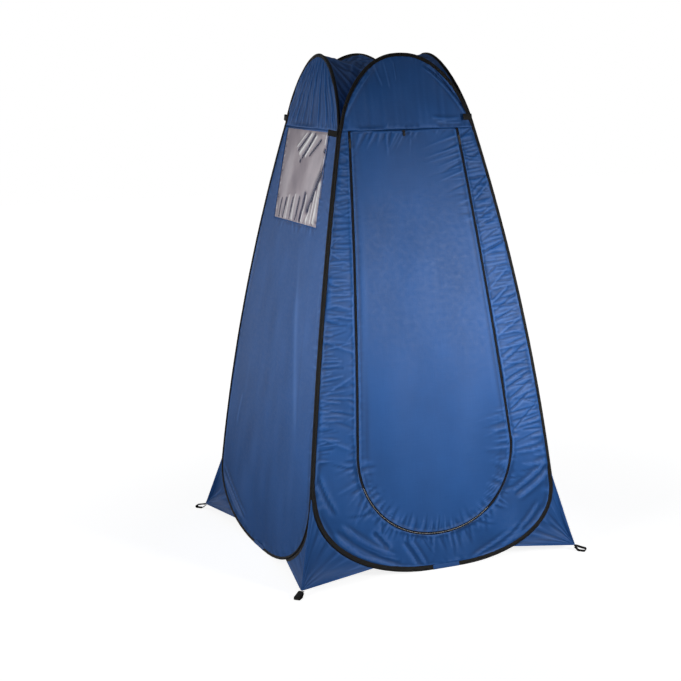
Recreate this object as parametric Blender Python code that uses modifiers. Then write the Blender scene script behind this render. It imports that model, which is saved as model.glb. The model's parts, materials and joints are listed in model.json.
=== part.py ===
"""Pop-up changing tent: four sprung egg-shaped hoops joined along their sides, with a zipped door.

Metres, +Z up. The origin is on the ground under the middle of the tent. The door faces -Y and the
window faces -X. Each of the four sides has a name, an outward direction and a lateral direction, which
points to the right for someone who looks at that side from outside.
"""

import math

import bmesh
import bpy
from mathutils import Matrix, Vector

# Whole tent
HEIGHT = 1.900
BASE_REACH = 0.523
TOP_REACH = 0.208
PROFILE_BOW = 0.045
ARCH_RISE = 0.267
LOWER_JOINT_HEIGHT = {"front_left": 0.325, "front_right": 0.295, "back_right": 0.270, "back_left": 0.240}
LOWER_ROUNDNESS = 2.1
UPPER_ROUNDNESS = {"front": 2.3, "right": 2.15, "back": 1.95, "left": 2.0}
TOP_SWAY = {"front": 0.0, "right": 0.0, "back": -0.006, "left": -0.075}
BOTTOM_SWAY = {"front": 0.030, "right": 0.0, "back": 0.0, "left": 0.0}
FOLD_LINE_SET = 0.0120

# Hoops
WIRE_RADIUS = 0.00175
SLEEVE_RADIUS = 0.0045
SLEEVE_BORE_RADIUS = 0.0025
PATCH_LENGTH = 0.096
SLEEVE_END_STUB = 0.003
PATCH_BORE_RADIUS = 0.0036
FERRULE_LENGTH = 0.050
FERRULE_RADIUS = 0.0031
FERRULE_BORE_RADIUS = 0.0022
WIRE_END_GAP = 0.0010
TOUCH_GAP = 0.0003
LOWER_ARC_STEPS = 9
SIDE_STEPS = 6
UPPER_ARC_STEPS = 9

# Cloth
CLOTH_THICKNESS = 0.0012
TOP_SEAM_DROP = 0.013
PANEL_BAND_HEIGHT = 0.200
TAPE_BAND_HEIGHT = 0.100
TOP_BAND_HEIGHT = 0.090

# Door and its zip, with the zip's distance from the hoop on the left and on the right
DOOR_TOP_INSET = {-1: 0.027, 1: 0.063}
DOOR_LOW_INSET = {-1: 0.162, 1: 0.142}
DOOR_WIDEST_HEIGHT = 0.450
DOOR_BOTTOM_HEIGHT = 0.130
DOOR_ROUNDNESS = 2.1
DOOR_SIDE_STEPS = 6
DOOR_ARC_STEPS = 7
ZIP_TAPE_WIDTH = 0.0058
ZIP_TAPE_THICKNESS = 0.0020
ZIP_PARTING = 0.0012
DOOR_HINGE_GAP = 0.0006

# Zip sliders and pulls
SLIDER_REST_DROP = 0.034
SLIDER_LENGTH = 0.012
SLIDER_PLATE_THICKNESS = 0.0015
SLIDER_GAP = 0.0006
SLIDER_POST_WIDTH = 0.0005
BAIL_WIDTH = 0.0020
BAIL_OPENING = 0.0020
BAIL_WALL = 0.0010
JOIN_OVERLAP = 0.0001
PULL_LENGTH = 0.030
PULL_WIDTH = 0.0080
PULL_THICKNESS = 0.0012
PULL_GAP = 0.0004
PULL_CORNER = 0.0016

# Toggle that holds the rolled door
TOGGLE_LATERAL = -0.021
TOGGLE_PIVOT_DROP = 0.0075
TOGGLE_RADIUS = 0.0040
TOGGLE_ABOVE_PIVOT = 0.0034
TOGGLE_BELOW_PIVOT = 0.0180
TOGGLE_STANDOFF = 0.0060
TOGGLE_CORD_RADIUS = 0.00125
TOGGLE_HOLE_RADIUS = 0.00165
TOGGLE_LOOP_HALF_WIDTH = 0.0070
TOGGLE_LOOP_BEND = 0.0015

# Window, with its corners' distances from the hoop at the back and at the front
WINDOW_SEAM_DROP = 0.008
WINDOW_HEIGHT = 0.344
WINDOW_TOP_INSET = {-1: 0.037, 1: 0.093}
WINDOW_BOTTOM_INSET = {-1: 0.133, 1: 0.120}
WINDOW_FILM_THICKNESS = 0.0008

# Gussets with stake loops
GUSSET_TIP_RUN = 0.043
GUSSET_TIP_HEIGHT = 0.020
GUSSET_END_STATION = 3
LOOP_WIDTH = 0.022
LOOP_WEB_THICKNESS = 0.0014
STAKE_LOOP_LENGTH = 0.042
STAKE_LOOP_ROOT = 0.003
STAKE_LOOP_ROOT_HEIGHT = 0.012
STAKE_LOOP_FLAT = (0.0126, 0.0360)
STAKE_LOOP_RISE = 0.013
LOOP_END_STEPS = 4

# Guy loops
GUY_LOOP_LENGTH = 0.034
GUY_LOOP_OPENING = 0.0096
GUY_LOOP_DROP = {"front_left": 0.024, "front_right": -0.024, "back_right": 0.018, "back_left": -0.010}

# Roof
ROOF_MIDDLE_DROP = 0.038
ROOF_RING_SHARE = 0.5
ROOF_RING_SAG = 0.010
ROOF_CORNER_SETBACK = 0.0110

# Model quality
MITRE_LIMIT = 0.5
FOLD_LINE_SAMPLES = 60
TOGGLE_SEGMENTS = 16
TOGGLE_HOLE_SEGMENTS = 12
PIVOT_MARK_SIZE = 0.1
SMOOTH_ANGLE = math.radians(35)

UPPER_JOINT_HEIGHT = HEIGHT - ARCH_RISE
TOP_SEAM_HEIGHT = UPPER_JOINT_HEIGHT - TOP_SEAM_DROP
WINDOW_TOP_HEIGHT = TOP_SEAM_HEIGHT - WINDOW_SEAM_DROP
WINDOW_BOTTOM_HEIGHT = WINDOW_TOP_HEIGHT - WINDOW_HEIGHT
GUSSET_TIP_REACH = BASE_REACH + GUSSET_TIP_RUN
SEAM_SET = (2 * SLEEVE_RADIUS + TOUCH_GAP) / math.sqrt(2)
SIDES = {
    "front": {"out": (0, -1), "across": (1, 0), "minus": "front_left", "plus": "front_right"},
    "right": {"out": (1, 0), "across": (0, 1), "minus": "front_right", "plus": "back_right"},
    "back": {"out": (0, 1), "across": (-1, 0), "minus": "back_right", "plus": "back_left"},
    "left": {"out": (-1, 0), "across": (0, -1), "minus": "back_left", "plus": "front_left"},
}
CORNERS = {
    "front_left": {"sign": (-1, -1), "halves": ("front", "left")},
    "front_right": {"sign": (1, -1), "halves": ("front", "right")},
    "back_right": {"sign": (1, 1), "halves": ("back", "right")},
    "back_left": {"sign": (-1, 1), "halves": ("back", "left")},
}
# The hoop that each guy loop is sewn to, and whether it stands out or lies to one side
GUY_LOOPS = {"front_left": ("left", "out"), "front_right": ("front", -1), "back_right": ("back", -1),
             "back_left": ("back", "out")}


def profile_circle():
    """Reach and height of the centre of the arc that each side follows, and the arc's radius."""
    chord = math.hypot(HEIGHT, BASE_REACH - TOP_REACH)
    radius = chord**2 / (8 * PROFILE_BOW) + PROFILE_BOW / 2
    to_centre = radius - PROFILE_BOW
    reach = (BASE_REACH + TOP_REACH) / 2 - to_centre * HEIGHT / chord
    height = HEIGHT / 2 - to_centre * (BASE_REACH - TOP_REACH) / chord
    return reach, height, radius


ARC_REACH, ARC_HEIGHT, ARC_RADIUS = profile_circle()


def reach(height):
    """Distance of a side's surface from the tent's axis at this height."""
    return ARC_REACH + math.sqrt(ARC_RADIUS**2 - (height - ARC_HEIGHT) ** 2)


def place(side, lateral, outward, height):
    """World point from a side's lateral place, its distance from the axis and its height."""
    out = SIDES[side]["out"]
    across = SIDES[side]["across"]
    return Vector((out[0] * outward + across[0] * lateral, out[1] * outward + across[1] * lateral, height))


def lean(height):
    """Change of a side's reach for each metre of height."""
    rise = height - ARC_HEIGHT
    return -rise / math.sqrt(ARC_RADIUS**2 - rise**2)


def side_normal(side, height):
    """Direction straight out of a side's surface."""
    return place(side, 0.0, 1.0, -lean(height)).normalized()


def side_rise(side, height, lateral_slope=0.0):
    """Direction up along a side's surface, with this much sideways for each metre of height."""
    return place(side, lateral_slope, lean(height), 1.0).normalized()


def on_side(side, lateral, height, lift=0.0):
    """World point on a side's surface, or this far outside it."""
    return place(side, lateral, reach(height), height) + side_normal(side, height) * lift


def hoop_half_width(height):
    return reach(height) - SEAM_SET


def lower_arc_point(side, corner_sign, angle):
    """Point of the hoop under its lower joint: angle 0 at the flat foot, a quarter turn at the joint."""
    corner = SIDES[side]["plus" if corner_sign > 0 else "minus"]
    joint = LOWER_JOINT_HEIGHT[corner]
    along = math.sin(angle) ** (2 / LOWER_ROUNDNESS)
    drop = math.cos(angle) ** (2 / LOWER_ROUNDNESS)
    height = joint - (joint - SLEEVE_RADIUS) * drop
    foot = PATCH_LENGTH / 2
    wide = foot + (hoop_half_width(height) - foot) * along
    return corner_sign * wide + BOTTOM_SWAY[side] * drop, height


def upper_arc_point(side, corner_sign, angle):
    """Point of the hoop above its upper joint: angle 0 at the joint, a quarter turn at the top."""
    rise = math.sin(angle) ** (2 / UPPER_ROUNDNESS[side])
    wide = math.cos(angle) ** (2 / UPPER_ROUNDNESS[side])
    height = UPPER_JOINT_HEIGHT + (HEIGHT - SLEEVE_RADIUS - UPPER_JOINT_HEIGHT) * rise
    return corner_sign * hoop_half_width(height) * wide + TOP_SWAY[side] * rise, height


def hoop_path(side):
    """The hoop's middle line as (lateral, height), from one end of the foot round to the other."""
    quarter = math.pi / 2
    points = []
    for sign in (1, -1):
        joint = LOWER_JOINT_HEIGHT[SIDES[side]["plus" if sign > 0 else "minus"]]
        half = [lower_arc_point(side, sign, quarter * i / LOWER_ARC_STEPS) for i in range(LOWER_ARC_STEPS)]
        for i in range(SIDE_STEPS):
            height = joint + (UPPER_JOINT_HEIGHT - joint) * i / SIDE_STEPS
            half.append((sign * hoop_half_width(height), height))
        half += [upper_arc_point(side, sign, quarter * i / UPPER_ARC_STEPS) for i in range(UPPER_ARC_STEPS)]
        if sign > 0:
            points += half + [upper_arc_point(side, sign, quarter)]
        else:
            points += half[::-1]
    return points


def inside_hoop(side, sign, inset, height):
    """Lateral place of a point at this height, this far inside the hoop's middle line."""
    path = hoop_path(side)
    for (x0, z0), (x1, z1) in zip(path, path[1:]):
        if x0 * sign > 0 and x1 * sign > 0 and min(z0, z1) <= height < max(z0, z1):
            return x0 + (x1 - x0) * (height - z0) / (z1 - z0) - sign * inset
    return sign * (hoop_half_width(height) - inset)


def door_width(sign):
    """Lateral places of the zip's outer edge on one side: at the seam, and where the door is widest."""
    top = inside_hoop("front", sign, DOOR_TOP_INSET[sign], TOP_SEAM_HEIGHT)
    low = inside_hoop("front", sign, DOOR_LOW_INSET[sign], DOOR_WIDEST_HEIGHT)
    return top, low


def offset_outline(points, distance, closed=True):
    """Moves each point of a flat outline to its left by the distance."""
    moved = []
    count = len(points)
    for i, (x, z) in enumerate(points):
        before = points[(i - 1) % count] if closed or i else points[i]
        after = points[(i + 1) % count] if closed or i < count - 1 else points[i]
        first = Vector((x - before[0], z - before[1]))
        second = Vector((after[0] - x, after[1] - z))
        if first.length < 1e-9:
            first = second
        if second.length < 1e-9:
            second = first
        first.normalize()
        second.normalize()
        bisector = (first + second).normalized()
        stretch = 1 / max(bisector.dot(first), MITRE_LIMIT)
        moved.append((x - bisector.y * distance * stretch, z + bisector.x * distance * stretch))
    return moved


def clip_at_height(points, height, keep_below):
    """The part of a closed flat outline under or over a height."""
    sign = 1 if keep_below else -1
    kept = []
    for (x0, z0), (x1, z1) in zip(points, points[1:] + points[:1]):
        side0 = sign * (height - z0)
        side1 = sign * (height - z1)
        if side0 >= 0:
            kept.append((x0, z0))
        if (side0 > 0) != (side1 > 0) and side0 != side1:
            share = side0 / (side0 - side1)
            kept.append((x0 + (x1 - x0) * share, height))
    return kept


def door_path():
    """The zip's outer edge as (lateral, height), from the seam down the left, round and up the right."""
    halves = []
    quarter = math.pi / 2
    middle = sum(door_width(sign)[1] for sign in (-1, 1)) / 2
    for sign in (-1, 1):
        top, low = door_width(sign)
        half = []
        for i in range(DOOR_SIDE_STEPS):
            share = i / DOOR_SIDE_STEPS
            height = TOP_SEAM_HEIGHT + (DOOR_WIDEST_HEIGHT - TOP_SEAM_HEIGHT) * share
            half.append((top + (low - top) * share, height))
        for i in range(DOOR_ARC_STEPS):
            angle = quarter * i / DOOR_ARC_STEPS
            wide = math.cos(angle) ** (2 / DOOR_ROUNDNESS)
            drop = math.sin(angle) ** (2 / DOOR_ROUNDNESS)
            lateral = middle + (low - middle) * wide
            half.append((lateral, DOOR_WIDEST_HEIGHT - (DOOR_WIDEST_HEIGHT - DOOR_BOTTOM_HEIGHT) * drop))
        halves.append(half)
    return halves[0] + [(middle, DOOR_BOTTOM_HEIGHT)] + halves[1][::-1]


def door_line(inset):
    """The zip's path moved towards the middle of the door, with its ends kept at the seam's height."""
    line = offset_outline(door_path(), inset, closed=False)
    line[0] = (line[0][0], TOP_SEAM_HEIGHT)
    line[-1] = (line[-1][0], TOP_SEAM_HEIGHT)
    return line


def make_material(name, colour, roughness, metallic=0.0):
    material = bpy.data.materials.new(name)
    material.use_nodes = True
    shader = material.node_tree.nodes["Principled BSDF"]
    shader.inputs["Base Color"].default_value = (*colour, 1.0)
    shader.inputs["Roughness"].default_value = roughness
    shader.inputs["Metallic"].default_value = metallic
    material.diffuse_color = (*colour, 1.0)
    return material


def add_object(name, mesh, material, collection):
    obj = bpy.data.objects.new(name, mesh)
    mesh.materials.clear()
    mesh.materials.append(material)
    collection.objects.link(obj)
    return obj


def add_solidify(obj, thickness, offset):
    solidify = obj.modifiers.new("cloth", "SOLIDIFY")
    solidify.thickness = thickness
    solidify.offset = offset
    solidify.use_even_offset = True
    solidify.use_rim = True
    return solidify


def cloth_plate(name, side, outline, band, material, collection, thickness=CLOTH_THICKNESS, hole=None):
    """A plate of cloth in a side's surface: a flat outline, cut in level bands and bent to the profile."""
    mesh = bpy.data.meshes.new(name)
    bm = bmesh.new()
    bm.faces.new([bm.verts.new((x, 0, z)) for x, z in outline])
    lowest = min(z for _, z in outline)
    highest = max(z for _, z in outline)
    bands = max(2, round((highest - lowest) / band))
    cuts = [((0, 0, lowest + (highest - lowest) * i / bands), (0, 0, 1)) for i in range(1, bands)]
    if hole:
        for (x0, z0), (x1, z1) in zip(hole, hole[1:] + hole[:1]):
            cuts.append(((x0, 0, z0), (z0 - z1, 0, x1 - x0)))
    for point, normal in cuts:
        everything = bm.verts[:] + bm.edges[:] + bm.faces[:]
        bmesh.ops.bisect_plane(bm, geom=everything, dist=1e-6, plane_co=point, plane_no=normal)
    if hole:
        inside = [face for face in bm.faces if within(face.calc_center_median(), hole)]
        bmesh.ops.delete(bm, geom=inside, context="FACES")
    bmesh.ops.connect_verts_concave(bm, faces=bm.faces[:])
    for vert in bm.verts:
        vert.co = on_side(side, vert.co.x, vert.co.z)
    bm.normal_update()
    bm.to_mesh(mesh)
    bm.free()
    obj = add_object(name, mesh, material, collection)
    add_solidify(obj, thickness, 0.0)
    return obj


def within(point, outline):
    """Whether a point lies inside a flat outline that turns to the left all the way round."""
    for (x0, z0), (x1, z1) in zip(outline, outline[1:] + outline[:1]):
        if (x1 - x0) * (point.z - z0) - (z1 - z0) * (point.x - x0) < 0:
            return False
    return True


def curve_tube(name, points, radius, resolution, caps, material, collection):
    curve = bpy.data.curves.new(name, "CURVE")
    curve.dimensions = "3D"
    curve.bevel_depth = radius
    curve.bevel_resolution = resolution
    curve.use_fill_caps = caps
    spline = curve.splines.new("POLY")
    spline.points.add(len(points) - 1)
    for spot, point in zip(spline.points, points):
        spot.co = (*point, 1.0)
    curve.materials.append(material)
    obj = bpy.data.objects.new(name, curve)
    collection.objects.link(obj)
    return obj


def to_mesh_object(obj, collection):
    """The same shape as a mesh with its loose caps welded."""
    graph = bpy.context.evaluated_depsgraph_get()
    mesh = bpy.data.meshes.new_from_object(obj.evaluated_get(graph))
    bm = bmesh.new()
    bm.from_mesh(mesh)
    bmesh.ops.remove_doubles(bm, verts=bm.verts, dist=1e-6)
    bm.to_mesh(mesh)
    bm.free()
    name = obj.name
    placed = obj.matrix_world.copy()
    bpy.data.objects.remove(obj)
    made = bpy.data.objects.new(name, mesh)
    made.matrix_world = placed
    collection.objects.link(made)
    return made


def hollow_tube(name, points, radius, bore_radius, material, collection):
    curve = curve_tube(name, points, radius, 2, False, material, collection)
    bpy.context.view_layer.update()
    tube = to_mesh_object(curve, collection)
    add_solidify(tube, radius - bore_radius, -1.0)
    return tube


def extruded_outline(name, outlines, half_width, placement, material, collection):
    """A flat shape, with holes where outlines lie inside each other, made thick and put in its place."""
    curve = bpy.data.curves.new(name, "CURVE")
    curve.dimensions = "2D"
    curve.fill_mode = "BOTH"
    curve.extrude = half_width
    for outline in outlines:
        spline = curve.splines.new("POLY")
        spline.points.add(len(outline) - 1)
        spline.use_cyclic_u = True
        for spot, (x, y) in zip(spline.points, outline):
            spot.co = (x, y, 0.0, 1.0)
    curve.materials.append(material)
    obj = bpy.data.objects.new(name, curve)
    obj.matrix_world = placement
    collection.objects.link(obj)
    bpy.context.view_layer.update()
    return to_mesh_object(obj, collection)


def frame_matrix(origin, x_axis, y_axis):
    """A placement whose x and y axes lie along these directions."""
    x_axis = Vector(x_axis).normalized()
    z_axis = x_axis.cross(Vector(y_axis)).normalized()
    y_axis = z_axis.cross(x_axis)
    turn = Matrix((x_axis, y_axis, z_axis)).transposed()
    return Matrix.Translation(origin) @ turn.to_4x4()


def make_hoop(side, materials, collection):
    """The sprung wire, the crimped ferrule over its ends, the black sleeve and the blue patch at the foot."""
    path = [on_side(side, lateral, height) for lateral, height in hoop_path(side)]
    start, end = path[0], path[-1]
    along = (start - end).normalized()
    middle = (start + end) / 2
    wire_points = [middle + along * WIRE_END_GAP / 2] + path + [middle - along * WIRE_END_GAP / 2]
    wire = curve_tube(f"{side}_hoop_wire", wire_points, WIRE_RADIUS, 1, True, materials["steel"], collection)
    half = along * FERRULE_LENGTH / 2
    ferrule = hollow_tube(f"{side}_wire_ferrule", [middle - half, middle + half], FERRULE_RADIUS,
                          FERRULE_BORE_RADIUS, materials["ferrule"], collection)
    stub = along * SLEEVE_END_STUB
    sleeve = hollow_tube(f"{side}_hoop_sleeve", [start - stub] + path + [end + stub], SLEEVE_RADIUS,
                         SLEEVE_BORE_RADIUS, materials["binding"], collection)
    inner = along * (PATCH_LENGTH / 2 - SLEEVE_END_STUB - TOUCH_GAP)
    patch = hollow_tube(f"{side}_sleeve_patch", [middle - inner, middle + inner], SLEEVE_RADIUS,
                        PATCH_BORE_RADIUS, materials["cloth"], collection)
    return [wire, ferrule, sleeve, patch]


def panel_outline(side):
    return offset_outline(hoop_path(side), SLEEVE_RADIUS + TOUCH_GAP)


def front_frame_outline():
    """The cloth round the door: the outer edge under the seam, and the zip's path as its inner edge."""
    outer = clip_at_height(panel_outline("front"), TOP_SEAM_HEIGHT - TOUCH_GAP / 2, True)
    ends = sorted(i for i, point in enumerate(outer) if point[1] > TOP_SEAM_HEIGHT - TOUCH_GAP)
    right_end = ends[0]
    outer = outer[right_end + 1:] + outer[:right_end + 1]
    inner = [(x, min(z, TOP_SEAM_HEIGHT - TOUCH_GAP / 2)) for x, z in door_line(0.0)]
    return outer + inner[::-1]


def window_outline(inset):
    """The window's corners, anticlockwise from its lower left, moved inwards by the inset."""
    corners = []
    for height, insets, signs in ((WINDOW_BOTTOM_HEIGHT, WINDOW_BOTTOM_INSET, (-1, 1)),
                                  (WINDOW_TOP_HEIGHT, WINDOW_TOP_INSET, (1, -1))):
        corners += [(inside_hoop("left", sign, insets[sign], height), height) for sign in signs]
    return offset_outline(corners, inset)


def make_panels(side, materials, collection):
    """The side's cloth under the seam and the arched piece over it."""
    cloth = materials["cloth"]
    seam = TOUCH_GAP / 2
    whole = panel_outline(side)
    hole = None
    if side == "front":
        lower = front_frame_outline()
    else:
        lower = clip_at_height(whole, TOP_SEAM_HEIGHT - seam, True)
    if side == "left":
        hole = window_outline(0.0)
    upper = clip_at_height(whole, TOP_SEAM_HEIGHT + seam, False)
    panel = cloth_plate(f"{side}_panel", side, lower, PANEL_BAND_HEIGHT, cloth, collection, hole=hole)
    top = cloth_plate(f"{side}_top_panel", side, upper, TOP_BAND_HEIGHT, cloth, collection)
    return [panel, top]


def make_window(materials, collection):
    outline = window_outline(TOUCH_GAP)
    return cloth_plate("window_film", "left", outline, WINDOW_HEIGHT / 2, materials["film"], collection,
                       thickness=WINDOW_FILM_THICKNESS)


def strip_outline(outer_inset, inner_inset, top):
    outer = door_line(outer_inset)
    inner = door_line(inner_inset)
    return [(x, min(z, top)) for x, z in outer + inner[::-1]]


def make_zip_and_door(materials, collection):
    """Two zip tapes side by side along the path, and the door's cloth within them."""
    first = TOUCH_GAP
    second = first + ZIP_TAPE_WIDTH
    third = second + ZIP_PARTING
    fourth = third + ZIP_TAPE_WIDTH
    frame_top = TOP_SEAM_HEIGHT - TOUCH_GAP / 2
    door_top = TOP_SEAM_HEIGHT - DOOR_HINGE_GAP
    frame_tape = cloth_plate("frame_zip_tape", "front", strip_outline(first, second, frame_top),
                             TAPE_BAND_HEIGHT, materials["zip"], collection, thickness=ZIP_TAPE_THICKNESS)
    door_tape = cloth_plate("door_zip_tape", "front", strip_outline(third, fourth, door_top),
                            TAPE_BAND_HEIGHT, materials["zip"], collection, thickness=ZIP_TAPE_THICKNESS)
    cloth_edge = [(x, min(z, door_top)) for x, z in door_line(fourth + TOUCH_GAP)]
    door = cloth_plate("door_panel", "front", cloth_edge, PANEL_BAND_HEIGHT, materials["cloth"], collection)
    return frame_tape, door_tape, door


def zip_side_line(sign):
    """The parting line of one straight zip side: its lateral place at height zero, and its slope."""
    middle = ZIP_TAPE_WIDTH + TOUCH_GAP + ZIP_PARTING / 2
    top, low = door_width(sign)
    slope = (top - low) / (TOP_SEAM_HEIGHT - DOOR_WIDEST_HEIGHT)
    return top - sign * middle - slope * TOP_SEAM_HEIGHT, slope


def slider_frame(sign):
    """Placement at a slider's middle: x across the zip towards the door, y along it, z outwards."""
    start, slope = zip_side_line(sign)
    height = TOP_SEAM_HEIGHT - SLIDER_REST_DROP
    rise = side_rise("front", height, slope)
    towards_door = rise.cross(side_normal("front", height)) * -sign
    return frame_matrix(on_side("front", start + slope * height, height), towards_door, rise * -sign)


def slider_pivot(sign):
    """Centre and direction of the far axis round which a slider runs along its bowed zip side."""
    start, slope = zip_side_line(sign)
    top = TOP_SEAM_HEIGHT - SLIDER_REST_DROP
    heights = (top, (top + DOOR_WIDEST_HEIGHT) / 2, DOOR_WIDEST_HEIGHT)
    first, second, third = [on_side("front", start + slope * height, height) for height in heights]
    a = first - third
    b = second - third
    normal = a.cross(b)
    centre = third + (b * a.length_squared - a * b.length_squared).cross(normal) / (2 * normal.length_squared)
    return centre, normal.normalized()


def pull_pivot(sign):
    """The middle of the pull's head bar inside the slider's bail, and the bar's direction."""
    placement = slider_frame(sign)
    lift = ZIP_TAPE_THICKNESS / 2 + SLIDER_GAP + SLIDER_PLATE_THICKNESS + BAIL_OPENING / 2
    return placement @ Vector((0, 0, lift)), placement.to_3x3().col[0] * -sign


def box_mesh(bm, low, high):
    middle = [(a + b) / 2 for a, b in zip(low, high)]
    size = [b - a for a, b in zip(low, high)]
    matrix = Matrix.Translation(middle) @ Matrix.Diagonal((*size, 1.0))
    bmesh.ops.create_cube(bm, size=1.0, matrix=matrix)


def union_object(name, boxes, placement, material, collection, cutters):
    """Boxes joined into one body, in a placement."""
    base = None
    for i, (low, high) in enumerate(boxes):
        mesh = bpy.data.meshes.new(f"{name}_{i}")
        bm = bmesh.new()
        box_mesh(bm, low, high)
        bm.to_mesh(mesh)
        bm.free()
        if base is None:
            base = add_object(name, mesh, material, collection)
            base.matrix_world = placement
        else:
            tool = add_object(f"{name}_block_{i}", mesh, material, cutters)
            tool.matrix_world = placement
            tool.hide_render = True
            tool.display_type = "WIRE"
            join = base.modifiers.new(f"join_{i}", "BOOLEAN")
            join.operation = "UNION"
            join.object = tool
    return base


def make_slider(sign, word, materials, collection, cutters):
    """A slider that spans both tapes outside, reaches through their parting and holds the door's tape."""
    over = ZIP_TAPE_THICKNESS / 2 + SLIDER_GAP
    face = over + SLIDER_PLATE_THICKNESS
    half = SLIDER_LENGTH / 2
    post = SLIDER_POST_WIDTH / 2
    side = BAIL_WIDTH / 2
    gap = BAIL_OPENING / 2
    leg = gap + BAIL_WALL
    under = face + BAIL_OPENING
    boxes = [
        ((-ZIP_TAPE_WIDTH, -half, over), (ZIP_TAPE_WIDTH, half, face)),
        ((-post, -half, -over - JOIN_OVERLAP), (post, half, over + JOIN_OVERLAP)),
        ((-post, -half, -face), (ZIP_TAPE_WIDTH, half, -over)),
        ((-side, -leg, face - JOIN_OVERLAP), (side, -gap, under + JOIN_OVERLAP)),
        ((-side, gap, face - JOIN_OVERLAP), (side, leg, under + JOIN_OVERLAP)),
        ((-side, -leg, under), (side, leg, under + BAIL_WALL)),
    ]
    placement = slider_frame(sign)
    return union_object(f"zip_slider_{word}", boxes, placement, materials["slider"], collection, cutters)


def make_pull(sign, word, materials, collection):
    """The tab that hangs from the slider's bail: its head bar passes under the bail and turns there."""
    pivot, across = pull_pivot(sign)
    rise = slider_frame(sign).to_3x3().col[1] * -sign
    half = PULL_WIDTH / 2
    bar = PULL_THICKNESS / 2
    bottom = bar - PULL_LENGTH
    corner = PULL_CORNER
    bail_corner = math.hypot(BAIL_OPENING / 2 + BAIL_WALL, BAIL_OPENING / 2 + BAIL_WALL)
    eye_bottom = -bail_corner - PULL_GAP
    eye_half = BAIL_WIDTH / 2 + PULL_GAP
    outline = [(-half, bottom + corner), (-half + corner, bottom), (half - corner, bottom),
               (half, bottom + corner), (half, bar), (-half, bar)]
    eye = [(-eye_half, eye_bottom), (eye_half, eye_bottom), (eye_half, -bar), (-eye_half, -bar)]
    return extruded_outline(f"zip_pull_{word}", [outline, eye], PULL_THICKNESS / 2,
                            frame_matrix(pivot, across, rise), materials["pull"], collection)


def make_toggle(materials, collection, cutters):
    """A short barrel that swings on a cord loop sewn to the top of the door."""
    height = TOP_SEAM_HEIGHT - TOGGLE_PIVOT_DROP
    lift = CLOTH_THICKNESS / 2 + TOUCH_GAP

    def spot(across, away):
        return on_side("front", TOGGLE_LATERAL + across, height, away)

    bend = TOGGLE_LOOP_BEND
    wide = TOGGLE_LOOP_HALF_WIDTH
    far = TOGGLE_STANDOFF
    route = [spot(-wide, lift), spot(-wide, far - bend), spot(-wide + bend, far), spot(wide - bend, far),
             spot(wide, far - bend), spot(wide, lift)]
    loop = curve_tube("toggle_loop", route, TOGGLE_CORD_RADIUS, 2, True, materials["binding"], collection)
    pivot = spot(0.0, far)
    mesh = bpy.data.meshes.new("door_toggle")
    bm = bmesh.new()
    length = TOGGLE_ABOVE_PIVOT + TOGGLE_BELOW_PIVOT
    shift = Matrix.Translation((0, 0, (TOGGLE_ABOVE_PIVOT - TOGGLE_BELOW_PIVOT) / 2))
    bmesh.ops.create_cone(bm, cap_ends=True, segments=TOGGLE_SEGMENTS, radius1=TOGGLE_RADIUS,
                          radius2=TOGGLE_RADIUS, depth=length, matrix=shift)
    bm.to_mesh(mesh)
    bm.free()
    toggle = add_object("door_toggle", mesh, materials["slider"], collection)
    hang = side_rise("front", height)
    toggle.matrix_world = frame_matrix(pivot, (1, 0, 0), hang.cross(Vector((1, 0, 0))))
    hole_mesh = bpy.data.meshes.new("toggle_hole")
    bm = bmesh.new()
    turn = Matrix.Rotation(math.pi / 2, 4, "Y")
    bmesh.ops.create_cone(bm, cap_ends=True, segments=TOGGLE_HOLE_SEGMENTS, radius1=TOGGLE_HOLE_RADIUS,
                          radius2=TOGGLE_HOLE_RADIUS, depth=TOGGLE_RADIUS * 4, matrix=turn)
    bm.to_mesh(hole_mesh)
    bm.free()
    hole = add_object("toggle_hole", hole_mesh, materials["slider"], cutters)
    hole.matrix_world = toggle.matrix_world.copy()
    hole.hide_render = True
    hole.display_type = "WIRE"
    drill = toggle.modifiers.new("hole", "BOOLEAN")
    drill.operation = "DIFFERENCE"
    drill.object = hole
    return loop, toggle


def make_gusset_half(corner, half_side, materials, collection):
    """One face of a corner gusset: a fan of cloth from the tip to the lower arc of the hoop."""
    sign = 1 if SIDES[half_side]["plus"] == corner else -1
    joint = LOWER_JOINT_HEIGHT[corner]
    clear = SLEEVE_RADIUS + TOUCH_GAP
    crease = TOUCH_GAP + CLOTH_THICKNESS / 2
    arc = []
    for i in range(LOWER_ARC_STEPS, GUSSET_END_STATION - 1, -1):
        lateral, height = lower_arc_point(half_side, sign, math.pi / 2 * i / LOWER_ARC_STEPS)
        arc.append((sign * lateral, height))
    arc = offset_outline(arc, clear, closed=False)
    arc[0] = (hoop_half_width(joint) + clear, joint)
    rim = [(reach(joint) - crease, reach(joint), joint)]
    rim += [(lateral, reach(height), height) for lateral, height in arc]
    tip = (GUSSET_TIP_REACH - crease, GUSSET_TIP_REACH, GUSSET_TIP_HEIGHT)
    mesh = bpy.data.meshes.new(f"{corner}_gusset_{half_side}_half")
    bm = bmesh.new()
    tip_vert = bm.verts.new(place(half_side, sign * tip[0], tip[1], tip[2]))
    rim_verts = [bm.verts.new(place(half_side, sign * a, b, c)) for a, b, c in rim]
    for first, second in zip(rim_verts, rim_verts[1:]):
        bm.faces.new((tip_vert, first, second) if sign > 0 else (tip_vert, second, first))
    bmesh.ops.recalc_face_normals(bm, faces=bm.faces)
    bm.to_mesh(mesh)
    bm.free()
    obj = add_object(mesh.name, mesh, materials["cloth"], collection)
    add_solidify(obj, CLOTH_THICKNESS, 0.0)
    return obj


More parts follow.
